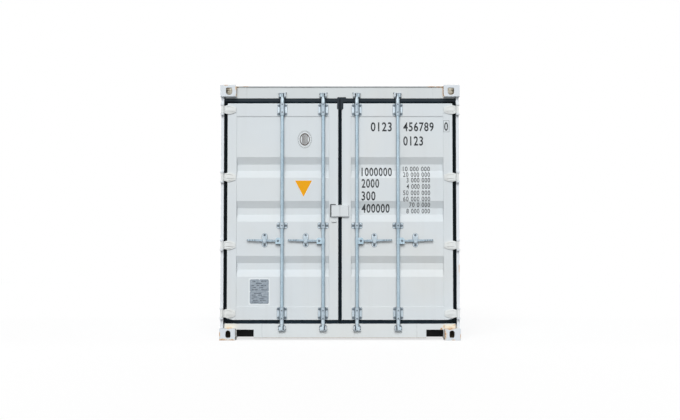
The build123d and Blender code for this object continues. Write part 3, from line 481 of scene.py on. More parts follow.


# Lock gear: tubes and drop forgings, hot-dip galvanised. The zinc is a smooth blue grey,
# brighter where hands and brackets rub it, with painted shade in the corners and painted light and
# shade on some faces. The handles' grips have small notches across them, painted dark as shade.
zinc, zinc_in, zinc_out = effect(
    "zinc_coat",
    {"Bright": "Color", "Dull": "Color", "Spangle": "Float"},
    {"Color": "Color", "Roughness": "Float", "Height": "Float"},
)
zinc_place = object_place(zinc)
flakes = put(zinc, "TexVoronoi", {"Vector": zinc_place, "Scale": zinc_in["Spangle"]}).outputs["Color"]
flake_level = put(zinc, "SeparateColor", {0: flakes}).outputs[0]
clouds = noise(zinc, zinc_place, 6.0, 3.0)
zinc_sum = reckon(zinc, "ADD", times(zinc, flake_level, 0.3), clouds)
feed(
    zinc,
    zinc_out,
    {
        "Color": blend(zinc, stretch(zinc, zinc_sum, 0.4, 0.95), zinc_in["Dull"], zinc_in["Bright"]),
        "Roughness": stretch(zinc, zinc_sum, 0.0, 1.3, 0.42, 0.3),
        "Height": clouds,
    },
)


def galvanised(name, bright, dull, spangle, radius, metallic=0.3):
    """A zinc-coated finish with rounded, rubbed edges."""
    finish, tree, shader = new_finish(name)
    coated = use(tree, zinc, Bright=linear(*bright), Dull=linear(*dull), Spangle=spangle)
    rounded = use(tree, edges, Radius=radius)
    rubbed = blend(tree, rounded["Worn"], coated["Color"], linear(232, 240, 244))
    # Painted shade: the zinc is darkened towards a dark blue grey in folds and corners.
    feed(
        tree,
        shader,
        {
            "Base Color": use(tree, shaded_creases, Under=rubbed, Dirt=linear(62, 70, 76), Share=0.85)["Color"],
            "Roughness": coated["Roughness"],
            "Normal": bump(tree, 0.1, 0.0005, coated["Height"], rounded["Normal"]),
            "Metallic": metallic,
        },
    )
    return finish


rod_zinc = galvanised("rod_zinc", (180, 200, 211), (152, 175, 189), 110.0, 0.002, 0.5)
forged_zinc = galvanised("forged_zinc", (192, 206, 216), (154, 172, 184), 70.0, 0.003)
keeper_zinc = galvanised("keeper_zinc", (206, 215, 221), (172, 184, 193), 70.0, 0.003, 0.1)
handle_zinc = galvanised("handle_zinc", (172, 190, 202), (130, 150, 164), 70.0, 0.002)
bright_zinc = linear(236, 243, 247)
dark_zinc = linear(84, 98, 108)


def tone(finish, source, axis, start, end, share, colour):
    """Lays a colour over a finish from start to end along an axis of its place or its facing."""
    tree = finish.node_tree
    lay_over(finish, stretch(tree, along(tree, axis, source), start, end, 0.0, share), colour)


# Painted highlight: the handles' frontmost parts, the hasps, and the brackets' and retainers' parts nearest
# the leaf are lightened.
tone(handle_zinc, "Object", "Y", door_y + 0.0252, door_y + 0.0248, 0.2, bright_zinc)
tone(forged_zinc, "Object", "Y", door_y + 0.046, door_y + 0.048, 0.2, bright_zinc)
# The rods are lightened above the leaves' top, and their cams in the header keepers are darkened as painted
# shade.
tone(rod_zinc, "Object", "Z", 2.40, 2.41, 0.3, bright_zinc)
tone(rod_zinc, "Object", "Z", 2.468, 2.476, 0.5, dark_zinc)
# Painted shade: the sides of the handles and forgings, turned away from the front, are darkened along their
# outlines.
tone(handle_zinc, "Normal", "Y", -0.9, -0.4, 0.55, dark_zinc)
tone(forged_zinc, "Normal", "Y", -0.9, -0.4, 0.45, dark_zinc)
# The rods are lightened below the leaves' foot. Painted shade: each rod's right-facing side is a darker blue
# and its left-facing side a pinkish grey.
tone(rod_zinc, "Object", "Z", 0.23, 0.22, 0.3, bright_zinc)
tone(rod_zinc, "Normal", "X", 0.25, 0.95, 0.35, linear(96, 128, 148))
tone(rod_zinc, "Normal", "X", -0.6, -0.95, 0.6, linear(150, 148, 156))

rod_places = (0.172, 0.589)
notch_spacing = 0.025
grip = handle_zinc.node_tree
grip_normal = grip.nodes["Principled BSDF"].inputs["Normal"]
from_rod = reckon(grip, "SUBTRACT", reckon(grip, "ABSOLUTE", along(grip, "X")), rod_places[0])
grip_reach = reckon(grip, "FLOORED_MODULO", from_rod, rod_places[1] - rod_places[0])
near_notch = stretch(grip, reckon(grip, "PINGPONG", grip_reach, notch_spacing / 2), 0.0045, 0.002)
notches = times(grip, near_notch, stretch(grip, grip_reach, 0.262, 0.266))
# Painted shade: the notches across the grips are darkened, and dented by the bump.
lay_over(handle_zinc, times(grip, notches, 0.7), dark_zinc)
grip.links.new(bump(grip, 1.0, 0.0015, notches, grip_normal.links[0].from_socket, invert=True), grip_normal)
# The bolt finish is darker than the other zinc: painted shade for the bolt heads of the lock gear.
bolt_zinc = galvanised("bolt_zinc", (112, 124, 134), (78, 90, 100), 150.0, 0.001)
coat_nodes(rod_zinc, *both("inner_rod", "outer_rod"))
coat_nodes(handle_zinc, *both("inner_handle", "outer_handle"))
coat_nodes(forged_zinc, *both("rod_brackets", "handle_retainers"))
coat_nodes(keeper_zinc, "header_keepers", "sill_keepers")


# Bolts and rivets of the lock gear: zinc-plated hexagon heads on washers, and domed rivets.
# They hold brackets, guides and retainers to the leaves, and keepers to the frame. They are
# instanced on points that face out of the doors, one mesh for each body.
def geometry_tree(name, first, inputs, last):
    """An empty geometry tree, with its inner ends."""
    tree = bpy.data.node_groups.new(name, "GeometryNodeTree")
    tree.interface.new_socket(first, in_out="INPUT", socket_type="NodeSocketGeometry")
    for label, kind, value in inputs:
        socket = tree.interface.new_socket(label, in_out="INPUT", socket_type="NodeSocket" + kind)
        if value is not None:
            socket.default_value = value
    tree.interface.new_socket(last, in_out="OUTPUT", socket_type="NodeSocketGeometry")
    return tree, tree.nodes.new("NodeGroupInput").outputs, tree.nodes.new("NodeGroupOutput").inputs


def make_real(tree, shape, finish, result):
    """Ends a geometry tree with plain meshes of one material."""
    real = put(tree, "GeometryNodeRealizeInstances", {0: shape}).outputs[0]
    finished = put(tree, "GeometryNodeSetMaterial", {"Geometry": real, "Material": finish})
    tree.links.new(finished.outputs[0], result[0])


fasteners, given, result = geometry_tree(
    "fasteners",
    "Points",
    [
        ("Head Radius", "Float", 0.009),
        ("Top Radius", "Float", 0.008),
        ("Head Height", "Float", 0.006),
        ("Sides", "Int", 6),
        ("Washer Radius", "Float", 0.012),
        ("Washer Height", "Float", 0.002),
        ("Facing", "Vector", (math.pi / 2, 0, 0)),
        ("Finish", "Material", None),
    ],
    "Fasteners",
)
head = put(
    fasteners,
    "GeometryNodeMeshCone",
    {
        "Side Segments": 1,
        "Vertices": given["Sides"],
        "Radius Bottom": given["Head Radius"],
        "Radius Top": given["Top Radius"],
        "Depth": given["Head Height"],
    },
)
washer = put(
    fasteners,
    "GeometryNodeMeshCylinder",
    {"Vertices": 16, "Radius": given["Washer Radius"], "Depth": given["Washer Height"]},
)
washer_half = times(fasteners, given["Washer Height"], 0.5)
together = put(fasteners, "GeometryNodeJoinGeometry")
for shape, height in ((head, given["Washer Height"]), (washer, washer_half)):
    lift = put(fasteners, "CombineXYZ", {"Z": height}).outputs[0]
    raised = {"Geometry": shape.outputs["Mesh"], "Translation": lift}
    fasteners.links.new(put(fasteners, "GeometryNodeTransform", raised).outputs[0], together.inputs[0])
spin = put(fasteners, "FunctionNodeRandomValue", {"Max": math.pi, "Seed": 7}).outputs[1]
set_on = put(
    fasteners,
    "GeometryNodeInstanceOnPoints",
    {"Points": given["Points"], "Instance": together.outputs[0], "Rotation": given["Facing"]},
)
twist = put(
    fasteners,
    "GeometryNodeRotateInstances",
    {"Instances": set_on.outputs[0], "Rotation": put(fasteners, "CombineXYZ", {"Z": spin}).outputs[0]},
)
make_real(fasteners, twist.outputs[0], given["Finish"], result)


def to_scene(name, data):
    """A new object in the scene."""
    made = bpy.data.objects.new(name, data)
    bpy.context.scene.collection.objects.link(made)
    return made


def plain_mesh(carrier):
    """The mesh that an object's modifiers or curve make, in place of the object."""
    bpy.context.view_layer.update()
    mesh = bpy.data.meshes.new_from_object(carrier.evaluated_get(bpy.context.evaluated_depsgraph_get()))
    bpy.data.objects.remove(carrier)
    return mesh


def add_piece(name, mesh, body):
    """A mesh as a piece that rides on a body."""
    piece = to_scene(name, mesh)
    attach(piece, body)


def grow(name, body, tree, places, lines, sizes):
    """Adds the plain mesh that a geometry tree makes of places and lines."""
    guide = bpy.data.meshes.new(name + "_guide")
    guide.from_pydata(places, lines, [])
    carrier = to_scene(name + "_carrier", guide)
    modifier = carrier.modifiers.new("growth", "NODES")
    modifier.node_group = tree
    for item in tree.interface.items_tree:
        key = item.name.replace(" ", "_")
        if item.in_out == "INPUT" and key in sizes:
            modifier[item.identifier] = sizes[key]
    add_piece(name, plain_mesh(carrier), body)


def set_fasteners(name, body, places, **sizes):
    """Adds a mesh of heads at the given places. Sizes name the tree's inputs."""
    grow(name, body, fasteners, places, [], {"Finish": bolt_zinc, **sizes})


sides = (("left", -1), ("right", 1))
bracket_ends = ((0.269, -1), (2.3435, 1))
guide_level = 1.159
hub_away, hub_level = 0.04, 1.004
retainer_away = 0.177
keeper_levels = (2.489, 0.119)
frame_y = door_y + frame_back
guide_y = door_y + 0.055
bow_y = door_y + 0.0085
rivet = {
    "Sides": 14,
    "Head_Radius": 0.0065,
    "Top_Radius": 0.003,
    "Head_Height": 0.003,
    "Washer_Radius": 0.0075,
    "Washer_Height": 0.001,
}
retainer_rivet = {"Sides": 16, "Head_Radius": 0.009, "Top_Radius": 0.005}
hub_rivet = {"Sides": 16, "Head_Radius": 0.010, "Top_Radius": 0.006, "Head_Height": 0.004}
for side, sign in sides:
    bolts, bow_rivets = [], []
    for x in rod_places:
        for level, away in bracket_ends:
            bolts += [
                (sign * (x + dx), door_y + 0.049, level + dz)
                for dx in (-0.036, 0.036)
                for dz in (-0.043, 0.043)
            ]
            bow_rivets += [(sign * x, bow_y, level + away * 0.05), (sign * x, bow_y, level - away * 0.03)]
        bolts += [(sign * (x + dx), guide_y, guide_level) for dx in (-0.04, 0.04)]
        bow_rivets.append((sign * x, bow_y, guide_level))
    set_fasteners(f"{side}_bracket_bolts", f"{side}_door", bolts, Head_Radius=0.0098, Top_Radius=0.0088)
    set_fasteners(f"{side}_bow_rivets", f"{side}_door", bow_rivets, **rivet)
    places = [(sign * (x + retainer_away), guide_y, level) for x in rod_places for level in (1.063, 0.960)]
    set_fasteners(f"{side}_retainer_rivets", f"{side}_door", places, **retainer_rivet)
    for rod, x in zip(("inner", "outer"), rod_places):
        places = [(sign * (x + hub_away), door_y + 0.017, hub_level)]
        set_fasteners(f"{side}_{rod}_hub_rivet", f"{side}_{rod}_lock", places, **hub_rivet)


def keeper_fixings(y, half_x, half_z):
    """The four fixings of each keeper."""
    return [
        (sign * x + dx, y, level + dz)
        for sign in (-1, 1)
        for x in rod_places
        for level in keeper_levels
        for dx in (-half_x, half_x)
        for dz in (-half_z, half_z)
    ]


bolt = {"Head_Radius": 0.0075, "Top_Radius": 0.0065, "Washer_Radius": 0.01}
set_fasteners("keeper_bolts", "container", keeper_fixings(door_y + 0.051, 0.025, 0.0155), **bolt)
studs = [(sign * (x - 0.038), frame_y, 2.516) for sign in (-1, 1) for x in rod_places]
stud = {"Sides": 12, "Head_Radius": 0.006, "Top_Radius": 0.005, "Washer_Radius": 0.007}
set_fasteners("header_studs", "container", studs, **stud)


# Vents: a pressed steel hood on each side wall, over a few small holes and open below.
# Two blind rivets hold it, one above the other.
vent_low, vent_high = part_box("side_vents")
vent_middle = (vent_low + vent_high) / 2
for side, sign in sides:
    places = [(sign * vent_high.x, vent_middle.y, vent_middle.z + rise) for rise in (-0.075, 0.08)]
    set_fasteners(f"{side}_vent_rivets", "container", places, **rivet, Facing=(0, sign * math.pi / 2, 0))


# Shade outlines: a dark bead round the foot of each bolted plate, painted shade that outlines
# the brackets, guides, retainers and keepers.
beads, given, result = geometry_tree(
    "beads",
    "Lines",
    [
        ("Bead Radius", "Float", 0.003),
        ("Step", "Float", 0.025),
        ("Wander", "Float", 0.0012),
        ("Sides", "Int", 6),
        ("Finish", "Material", None),
    ],
    "Beads",
)
follow = put(beads, "GeometryNodeMeshToCurve", {"Mesh": given["Lines"]}).outputs[0]
cut_up = put(beads, "GeometryNodeResampleCurve", {"Curve": follow, "Length": given["Step"]}, mode="LENGTH")
wobble = put(beads, "TexNoise", {"Scale": 31.0, "Detail": 1.0}).outputs["Color"]
centred = vector(beads, "SUBTRACT", wobble, (0.5, 0.5, 0.5))
sideways = put(beads, "VectorMath", {0: centred, "Scale": given["Wander"]}, operation="SCALE").outputs[0]
line = put(beads, "GeometryNodeSetPosition", {"Geometry": cut_up.outputs[0], "Offset": sideways}).outputs[0]
section = put(
    beads, "GeometryNodeCurvePrimitiveCircle", {"Resolution": given["Sides"], "Radius": given["Bead Radius"]}
).outputs[0]
swept = {"Curve": line, "Profile Curve": section, "Fill Caps": True}
make_real(beads, put(beads, "GeometryNodeCurveToMesh", swept).outputs[0], given["Finish"], result)


def lay_beads(name, body, slot, paths, finish, **sizes):
    """Adds a mesh of beads along paths of points."""
    places, lines = [], []
    for path in paths:
        lines += [(len(places) + i, len(places) + i + 1) for i in range(len(path) - 1)]
        places += path
    grow(name, body, beads, places, lines, {"Finish": finish, **sizes})


def marking(name, colour, fade):
    """A thin matt mark or film, a little worn off the paint below."""
    finish, tree, shader = new_finish(name)
    patchy = noise(tree, object_place(tree), 60.0, 5.0)
    share = stretch(tree, patchy, 0.45, 0.8, 0.0, fade)
    feed(
        tree,
        shader,
        {
            "Base Color": blend(tree, share, linear(*colour), linear(205, 211, 214)),
            "Roughness": stretch(tree, patchy, 0.0, 1.0, 0.45, 0.7),
            "Specular IOR Level": 0.15,
        },
    )
    return finish


def ring_of(x, y, z, radius):
    """A closed path round a bolt."""
    turns = [2 * math.pi * i / 24 for i in range(25)]
    return [(x + radius * math.sin(t), y, z + radius * math.cos(t)) for t in turns]


def pill_of(x, y, z, wide, tall):
    """A closed path round an upright plate with round ends."""
    arc = [math.pi * i / 12 for i in range(13)]
    straight = tall / 2 - wide / 2
    top = [(x - wide / 2 * math.cos(t), y, z + straight + wide / 2 * math.sin(t)) for t in arc]
    foot = [(x + wide / 2 * math.cos(t), y, z - straight - wide / 2 * math.sin(t)) for t in arc]
    return top + foot + top[:1]


def plate_of(x, y, z, wide, tall, cut=0.008):
    """A closed path round an upright rectangle with cut corners."""
    path = []
    for a, b in ((1, 1), (-1, 1), (-1, -1), (1, -1)):
        beside = (x + a * wide / 2, y, z + b * (tall / 2 - cut))
        above = (x + a * (wide / 2 - cut), y, z + b * tall / 2)
        path += (beside, above) if a == b else (above, beside)
    return path + path[:1]


leaf_y = door_y + 0.054
panel_y = door_y + 0.060
# Painted shade: a dark bead outlines each bolted plate and keeper.
outline_shade = marking("outline_shade", (70, 80, 88), 0.5)
for side, sign in sides:
    paths = []
    for x in rod_places:
        paths += [plate_of(sign * x, leaf_y, level, 0.0995, 0.1235) for level, _ in bracket_ends]
        paths.append(plate_of(sign * x, panel_y, guide_level, 0.107, 0.059))
        paths.append(pill_of(sign * (x + retainer_away), panel_y, 1.011, 0.055, 0.142))
    lay_beads(f"{side}_gaskets", f"{side}_door", "seal_rubber", paths, outline_shade, Bead_Radius=0.0026, Step=0.01)
keeper_paths = [ring_of(*place, 0.014) for place in keeper_fixings(frame_y, 0.023, 0.015)]
lay_beads("keeper_gaskets", "container", "seal_rubber", keeper_paths, outline_shade, Bead_Radius=0.003, Step=0.008)


# Welds: hand-laid fillet beads that wander a little, painted over with the rest. They join the
# leaves' stiles to the rails and the panel, the header and sill to the posts, and the side walls
# to the rails and castings.
stile_x = (0.1115, 1.054)
leaf_low, leaf_high, rail_tall = 0.2035, 2.409, 0.131
panel_low, panel_high = leaf_low + rail_tall, leaf_high - rail_tall
panel_flats = ((panel_low, 0.64), (0.85, 1.2), (1.411, 1.648), (1.859, panel_high))
for side, sign in sides:
    paths = []
    for x in (sign * stile_x[0], sign * stile_x[1]):
        for low in (leaf_low, panel_high):
            paths.append([(x, leaf_y, low + 0.002), (x, leaf_y, low + rail_tall - 0.002)])
        paths += [[(x, panel_y, low), (x, panel_y, high)] for low, high in panel_flats]
    lay_beads(f"{side}_leaf_welds", f"{side}_door", "body_paint", paths, box_paint, Bead_Radius=0.0022)
    paths = [
        [(sign * x, panel_y - 0.001, z) for x in stile_x] for z in (panel_low + 0.001, panel_high - 0.001)
    ]
    lay_beads(f"{side}_rail_welds", f"{side}_door", "body_paint", paths, box_paint, Bead_Radius=0.0045)
frame_paths = [[(x, frame_y, 2.463), (x, frame_y, 2.576)] for x in (-0.952, 0.95)]
frame_paths += [[(x, frame_y, 0.022), (x, frame_y, 0.163)] for x in (-0.79, 0.778)]
frame_paths.append([(x, frame_y - 0.01, 2.5815) for x in (-inner_x, inner_x)])
frame_paths += [[(sign * x, frame_y, 0.1655) for x in (1.17, 1.06)] for sign in (-1, 1)]
lay_beads("door_frame_welds", "container", "body_paint", frame_paths, frame_paint, Bead_Radius=0.0024)
wall_x, wall_foot, wall_head = 1.2105, 0.176, 2.521
wall_paths = []
for sign in (-1, 1):
    for z, inset in ((wall_foot, 0.18), (wall_head, 0.19)):
        wall_paths.append([(sign * wall_x, door_y + inset, z), (sign * wall_x, -door_y - inset, z)])
    for z in (casting_low + 0.001, casting_high - 0.001):
        for y in (door_y + 0.047, -door_y - 0.008):
            wall_paths.append([(sign * 1.189, y, z), (sign * 1.206, y, z)])
wall_paths += [[(x, -door_y - 0.005, z) for z in (0.16, 0.17)] for x in (-1.057, 1.057)]
lay_beads("wall_welds", "container", "body_paint", wall_paths, box_paint, Step=0.06, Bead_Radius=0.0028)


# Hinge ribs: each forged strap has two raised ribs that run from its barrel and draw together
# near the tip, forged in one piece with it.
barrel_x = 1.146
hinge_levels = [0.2685 + i * 0.69183 for i in range(4)]
rib_line = ((1.164, 0.030), (barrel_x, 0.033), (1.12, 0.030), (1.096, 0.023), (1.078, 0.013))
for side, sign in sides:
    paths = [
        [
            (sign * x, door_y + 0.0425 + 0.005 * (barrel_x - min(x, barrel_x)) / 0.085, level + way * rise)
            for x, rise in rib_line
        ]
        for level in hinge_levels
        for way in (-1, 1)
    ]
    strand = {"Bead_Radius": 0.0034, "Wander": 0.0, "Step": 0.012}
    lay_beads(f"{side}_hinge_ribs", f"{side}_door", "body_paint", paths, hinge_paint, **strand)


# Floor screws: countersunk steel heads, flush with the plywood and worn bright. They hold the
# sheets down to the cross members, in rows.
screws = [
    (sign * (0.06 + column * 0.34), -2.78 + row * 0.29, 0.1652)
    for row in range(20)
    for column in range(4)
    for sign in (-1, 1)
]
set_fasteners(
    "floor_screws",
    "container",
    screws,
    Facing=(0, 0, 0),
    Sides=8,
    Head_Radius=0.0065,
    Top_Radius=0.006,
    Head_Height=0.0006,
    Washer_Radius=0.004,
    Washer_Height=0.0004,
)


# Lashing rings: bent round bar, welded inside along the bottom rails and the top rails,
# five on each.
arc = [math.pi * i / 8 for i in range(9)]
ring_paths = [
    [(sign * 1.188, i * 1.12 + 0.032 * math.cos(a), base + way * 0.042 * math.sin(a)) for a in arc]
    for sign in (-1, 1)
    for i in range(-2, 3)
    for base, way in ((wall_foot, 1), (wall_head, -1))
]
bar = {"Bead_Radius": 0.005, "Wander": 0.0, "Step": 0.012, "Sides": 8}
lay_beads("lashing_rings", "container", "body_paint", ring_paths, box_paint, **bar)


# Data plate: one sheet of etched aluminium, blind-riveted through a pale pad to the left-hand
# leaf, with two fields of blank ruled rows.
aluminium, alu, alu_shader = new_finish("plate_aluminium")
alu_place = object_place(alu)
brushing = noise(alu, scaled(alu, alu_place, (20, 20, 500)), 1.0, 3.0)
smears = noise(alu, alu_place, 34.0, 3.0)
alu_sum = reckon(alu, "ADD", times(alu, brushing, 0.4), times(alu, smears, 0.6))
feed(
    alu,
    alu_shader,
    {
        "Base Color": ramp(alu, alu_sum, linear(122, 134, 144), 0.35, linear(158, 168, 178), 0.65),
        "Roughness": stretch(alu, brushing, 0.0, 1.0, 0.4, 0.6),
        "Normal": bump(alu, 0.2, 0.0003, brushing),
        "Metallic": 0.25,
    },
)
coat_nodes(aluminium, "data_plate")


def add_panel(shape, left, right, low, high):
    """Adds an upright rectangle to a flat mark."""
    corners = ((left, low), (right, low), (right, high), (left, high))
    shape.faces.new([shape.verts.new((x, 0, z)) for x, z in corners])


def finish_shape(shape, name, body, finish):
    """Makes a piece of a shape."""
    mesh = bpy.data.meshes.new(name)
    shape.to_mesh(mesh)
    shape.free()
    mesh.materials.append(finish)
    add_piece(name, mesh, body)


def finish_flat(shape, name, body, finish):
    """Makes a piece of a flat mark, facing out of the doors."""
    bmesh.ops.triangulate(shape, faces=shape.faces[:])
    shape.normal_update()
    for face in shape.faces:
        if face.normal.y > 0:
            face.normal_flip()
    finish_shape(shape, name, body, finish)


etched = marking("etched_black", (84, 94, 106), 0.4)
pale_film = marking("pale_film", (229, 235, 238), 0.1)
plate_x, plate_z = -0.819, 0.490
plate_half_x, plate_half_z = 0.0965, 0.124
plate_face_y = door_y + 0.058
pad = bmesh.new()
pad_half_x = plate_half_x + 0.012
pad_low, pad_high = plate_z - plate_half_z - 0.014, plate_z + plate_half_z + 0.012
add_panel(pad, plate_x - pad_half_x, plate_x + pad_half_x, pad_low, pad_high)
for vertex in pad.verts:
    vertex.co.y = panel_y - 0.0006
finish_flat(pad, "plate_pad", "left_door", pale_film)

# Each row's grey bars, from start to end as shares of the row
upper_rows = (
    (0.06, 0.42, 0.62, 0.95),
    (0.1, 0.3, 0.5, 0.72),
    (0.04, 0.2, 0.34, 0.5, 0.6, 0.9),
    (0.3, 0.66),
    (0.08, 0.28, 0.6, 0.93),
)
lower_rows = (
    (0.05, 0.5, 0.6, 0.72),
    (0.12, 0.44, 0.54, 0.9),
    (0.05, 0.2, 0.5, 0.8),
    (0.1, 0.36, 0.62, 0.94),
    (0.05, 0.3, 0.44, 0.66),
    (0.2, 0.6),
)
fields = bmesh.new()
left, right = plate_x - 0.086, plate_x + 0.086
thin = 0.0012
for rows, start_z in ((upper_rows, 0.0), (lower_rows, -plate_half_z)):
    low = plate_z + start_z + 0.008
    high = low + plate_half_z - 0.018
    for edge_low in (low, high):
        add_panel(fields, left, right, edge_low, edge_low + thin)
    for edge_left in (left, right):
        add_panel(fields, edge_left - thin / 2, edge_left + thin / 2, low, high)
    pitch = (high - low) / len(rows)
    for i, bars in enumerate(rows):
        row_low = low + i * pitch
        add_panel(fields, left, right, row_low, row_low + thin / 2)
        for start, end in zip(bars[::2], bars[1::2]):
            bar_left, bar_right = (left + share * (right - left) for share in (start, end))
            add_panel(fields, bar_left, bar_right, row_low + 0.3 * pitch, row_low + 0.72 * pitch)
for vertex in fields.verts:
    vertex.co.y = plate_face_y - 0.0003
finish_flat(fields, "plate_fields", "left_door", etched)
set_fasteners(
    "plate_rivets",
    "left_door",
    [(plate_x + dx, plate_face_y, plate_z + dz) for dx in (-0.082, 0.082) for dz in (-0.117, 0.117)],
    Sides=10,
    Head_Radius=0.0035,
    Top_Radius=0.0018,
    Head_Height=0.0015,
    Washer_Radius=0.004,
    Washer_Height=0.0004,
)


# Painted marks: stencilled digits on the right-hand leaf, and pale and amber film on the left.
# They follow the pressed panel, about half a millimetre proud of it.
black_mark = marking("black_mark", (34, 37, 41), 0.25)
amber_film = marking("amber_film", (238, 166, 4), 0.03)
grey_ink = marking("grey_ink", (128, 134, 138), 0.3)
brown_ink = marking("brown_ink", (82, 70, 66), 0.2)
press_levels = (0.74525, 1.30525, 1.75325)
press_half = 0.0325
press_reach = 0.1055
press_depth = 0.036
mark_lift = 0.0006


def leaf_surface(x, z):
    """Where the leaf's outer surface is, behind the point (x, z)."""
    if abs(x) > stile_x[1]:
        return leaf_y
    depth = 0
    for level in press_levels:
        away = abs(z - level)
        if away < press_reach:
            depth = press_depth * min(1, (press_reach - away) / (press_reach - press_half))
    return panel_y + depth


def mark_leaf(shape, name, side, finish, lift=mark_lift):
    """Cuts a flat mark at the panel's folds, lays it on the leaf and makes a piece of it."""
    for level in press_levels:
        for fold in (-press_reach, -press_half, press_half, press_reach):
            everything = shape.verts[:] + shape.edges[:] + shape.faces[:]
            bmesh.ops.bisect_plane(shape, geom=everything, plane_co=(0, 0, level + fold), plane_no=(0, 0, 1))
    for vertex in shape.verts:
        vertex.co.y = leaf_surface(vertex.co.x, vertex.co.z) - lift
    finish_flat(shape, name, f"{side}_door", finish)


def digits(shape, text, left, right, low, high, weight):
    """Adds digits that fill a rectangle on the leaf."""
    curve = bpy.data.curves.new("digits", "FONT")
    curve.body = text
    curve.offset = weight
    curve.space_character = 1.12
    curve.resolution_u = 3
    mesh = plain_mesh(to_scene("writer", curve))
    xs = [v.co.x for v in mesh.vertices]
    ys = [v.co.y for v in mesh.vertices]
    start_x, end_x, start_y, end_y = min(xs), max(xs), min(ys), max(ys)
    for vertex in mesh.vertices:
        across = (vertex.co.x - start_x) / (end_x - start_x)
        up = (vertex.co.y - start_y) / (end_y - start_y)
        vertex.co = (left + across * (right - left), 0, low + up * (high - low))
    shape.from_mesh(mesh)
    bpy.data.meshes.remove(mesh)


large = bmesh.new()
for text, left, right, low, high in (
    ("0123", 0.314, 0.529, 2.122, 2.217),
    ("456789", 0.646, 0.957, 2.122, 2.217),
    ("0", 1.064, 1.103, 2.127, 2.217),
    ("0123", 0.646, 0.848, 1.976, 2.073),
    ("1000000", 0.220, 0.530, 1.664, 1.755),
    ("2000", 0.220, 0.399, 1.544, 1.636),
    ("300", 0.220, 0.361, 1.415, 1.510),
    ("400000", 0.220, 0.506, 1.291, 1.382),
):
    digits(large, text, left, right, low, high, 0.018)
mark_leaf(large, "large_digits", "right", black_mark)
small = bmesh.new()
for text, left, low, high in (
    ("10 000 000", 0.643, 1.716, 1.765),
    ("20 000 000", 0.643, 1.656, 1.706),
    ("3 000 000", 0.678, 1.599, 1.648),
    ("4 000 000", 0.678, 1.533, 1.584),
    ("50 000 000", 0.643, 1.469, 1.518),
    ("60 000 000", 0.643, 1.406, 1.456),
    ("70 0 000", 0.706, 1.350, 1.396),
    ("8 000 000", 0.678, 1.285, 1.333),
):
    digits(small, text, left, 0.918, low, high, 0.008)
mark_leaf(small, "small_digits", "right", black_mark)
box = bmesh.new()
box_left, box_right, box_low, box_high = 1.055, 1.116, 2.115, 2.234
box_line = 0.0035
add_panel(box, box_left, box_right, box_low, box_low + box_line)
add_panel(box, box_left, box_right, box_high - box_line, box_high)
add_panel(box, box_left, box_left + box_line, box_low + box_line, box_high - box_line)
add_panel(box, box_right - box_line, box_right, box_low + box_line, box_high - box_line)
mark_leaf(box, "digit_box", "right", grey_ink)

oval_x, oval_z = -0.360, 2.040
oval_half_x, oval_half_z = 0.0715, 0.0895


def oval(shape, outer, inner, start=0.0, end=1.0):
    """Adds part of the emblem's ring to a flat mark, between two shares of its half sizes."""
    parts = max(1, round(64 * (end - start)))
    turns = [2 * math.pi * (start + (end - start) * i / parts) for i in range(parts + 1)]
    rims = [
        [
            shape.verts.new(
                (oval_x + share * oval_half_x * math.sin(t), 0, oval_z + share * oval_half_z * math.cos(t))
            )
            for t in turns
        ]
        for share in (outer, inner)
    ]
    for i in range(parts):
        shape.faces.new((rims[0][i], rims[0][i + 1], rims[1][i + 1], rims[1][i]))


disc = bmesh.new()
oval(disc, 1.0, 0.02)
mark_leaf(disc, "oval_film", "left", pale_film)
ring = bmesh.new()
oval(ring, 1.0, 0.965)
for tick in range(30):
    oval(ring, 0.93, 0.84, tick / 30, (tick + 0.45) / 30)
mark_leaf(ring, "oval_ticks", "left", grey_ink, 2 * mark_lift)
heart = bmesh.new()
oval(heart, 0.72, 0.60)
for i in range(-2, 3):
    tall = oval_half_z * 0.6 * math.sqrt(1 - (i / 3.4) ** 2)
    middle = oval_x + i * 0.0125
    add_panel(heart, middle - 0.0038, middle + 0.0038, oval_z - tall, oval_z + tall)
mark_leaf(heart, "oval_bars", "left", brown_ink, 2 * mark_lift)
for name, corners, finish, lift_share in (
    ("triangle_edge", ((-0.466, 1.624), (-0.278, 1.624), (-0.372, 1.444)), pale_film, 1),
    ("amber_triangle", ((-0.459, 1.619), (-0.285, 1.619), (-0.372, 1.454)), amber_film, 2),
):
    shape = bmesh.new()
    shape.faces.new([shape.verts.new((x, 0, z)) for x, z in corners])
    mark_leaf(shape, name, "left", finish, lift_share * mark_lift)


# Gap shade: a black strip between the lock plate and the left-hand leaf, painted shade that shows
# as a dark line at the plate's upper corner and side, where the plate stands off the leaf.
def add_block(shape, left, right, front, back, low, high):
    """Adds a closed block to a mesh."""
    for vertex in bmesh.ops.create_cube(shape, size=1.0)["verts"]:
        vertex.co = (
            left if vertex.co.x < 0 else right,
            front if vertex.co.y < 0 else back,
            low if vertex.co.z < 0 else high,
        )


def finish_block(shape, name, body, finish, round_edge):
    """Makes a piece of blocks with rounded edges."""
    bmesh.ops.bevel(shape, geom=shape.edges[:], offset=round_edge, segments=2, affect="EDGES")
    finish_shape(shape, name, body, finish)


# Painted shade: a black strip stands in for the shadow under the plate's free edge.
gap_shade = bmesh.new()
gap_shade_top = 1.3765
add_block(gap_shade, -0.092, -0.043, leaf_y - 0.014, leaf_y, 1.3688, gap_shade_top)
add_block(gap_shade, -0.0995, -0.092, leaf_y - 0.014, leaf_y, 1.248, gap_shade_top)
finish_block(gap_shade, "lock_plate_buffer", "left_door", rubber, 0.0008)


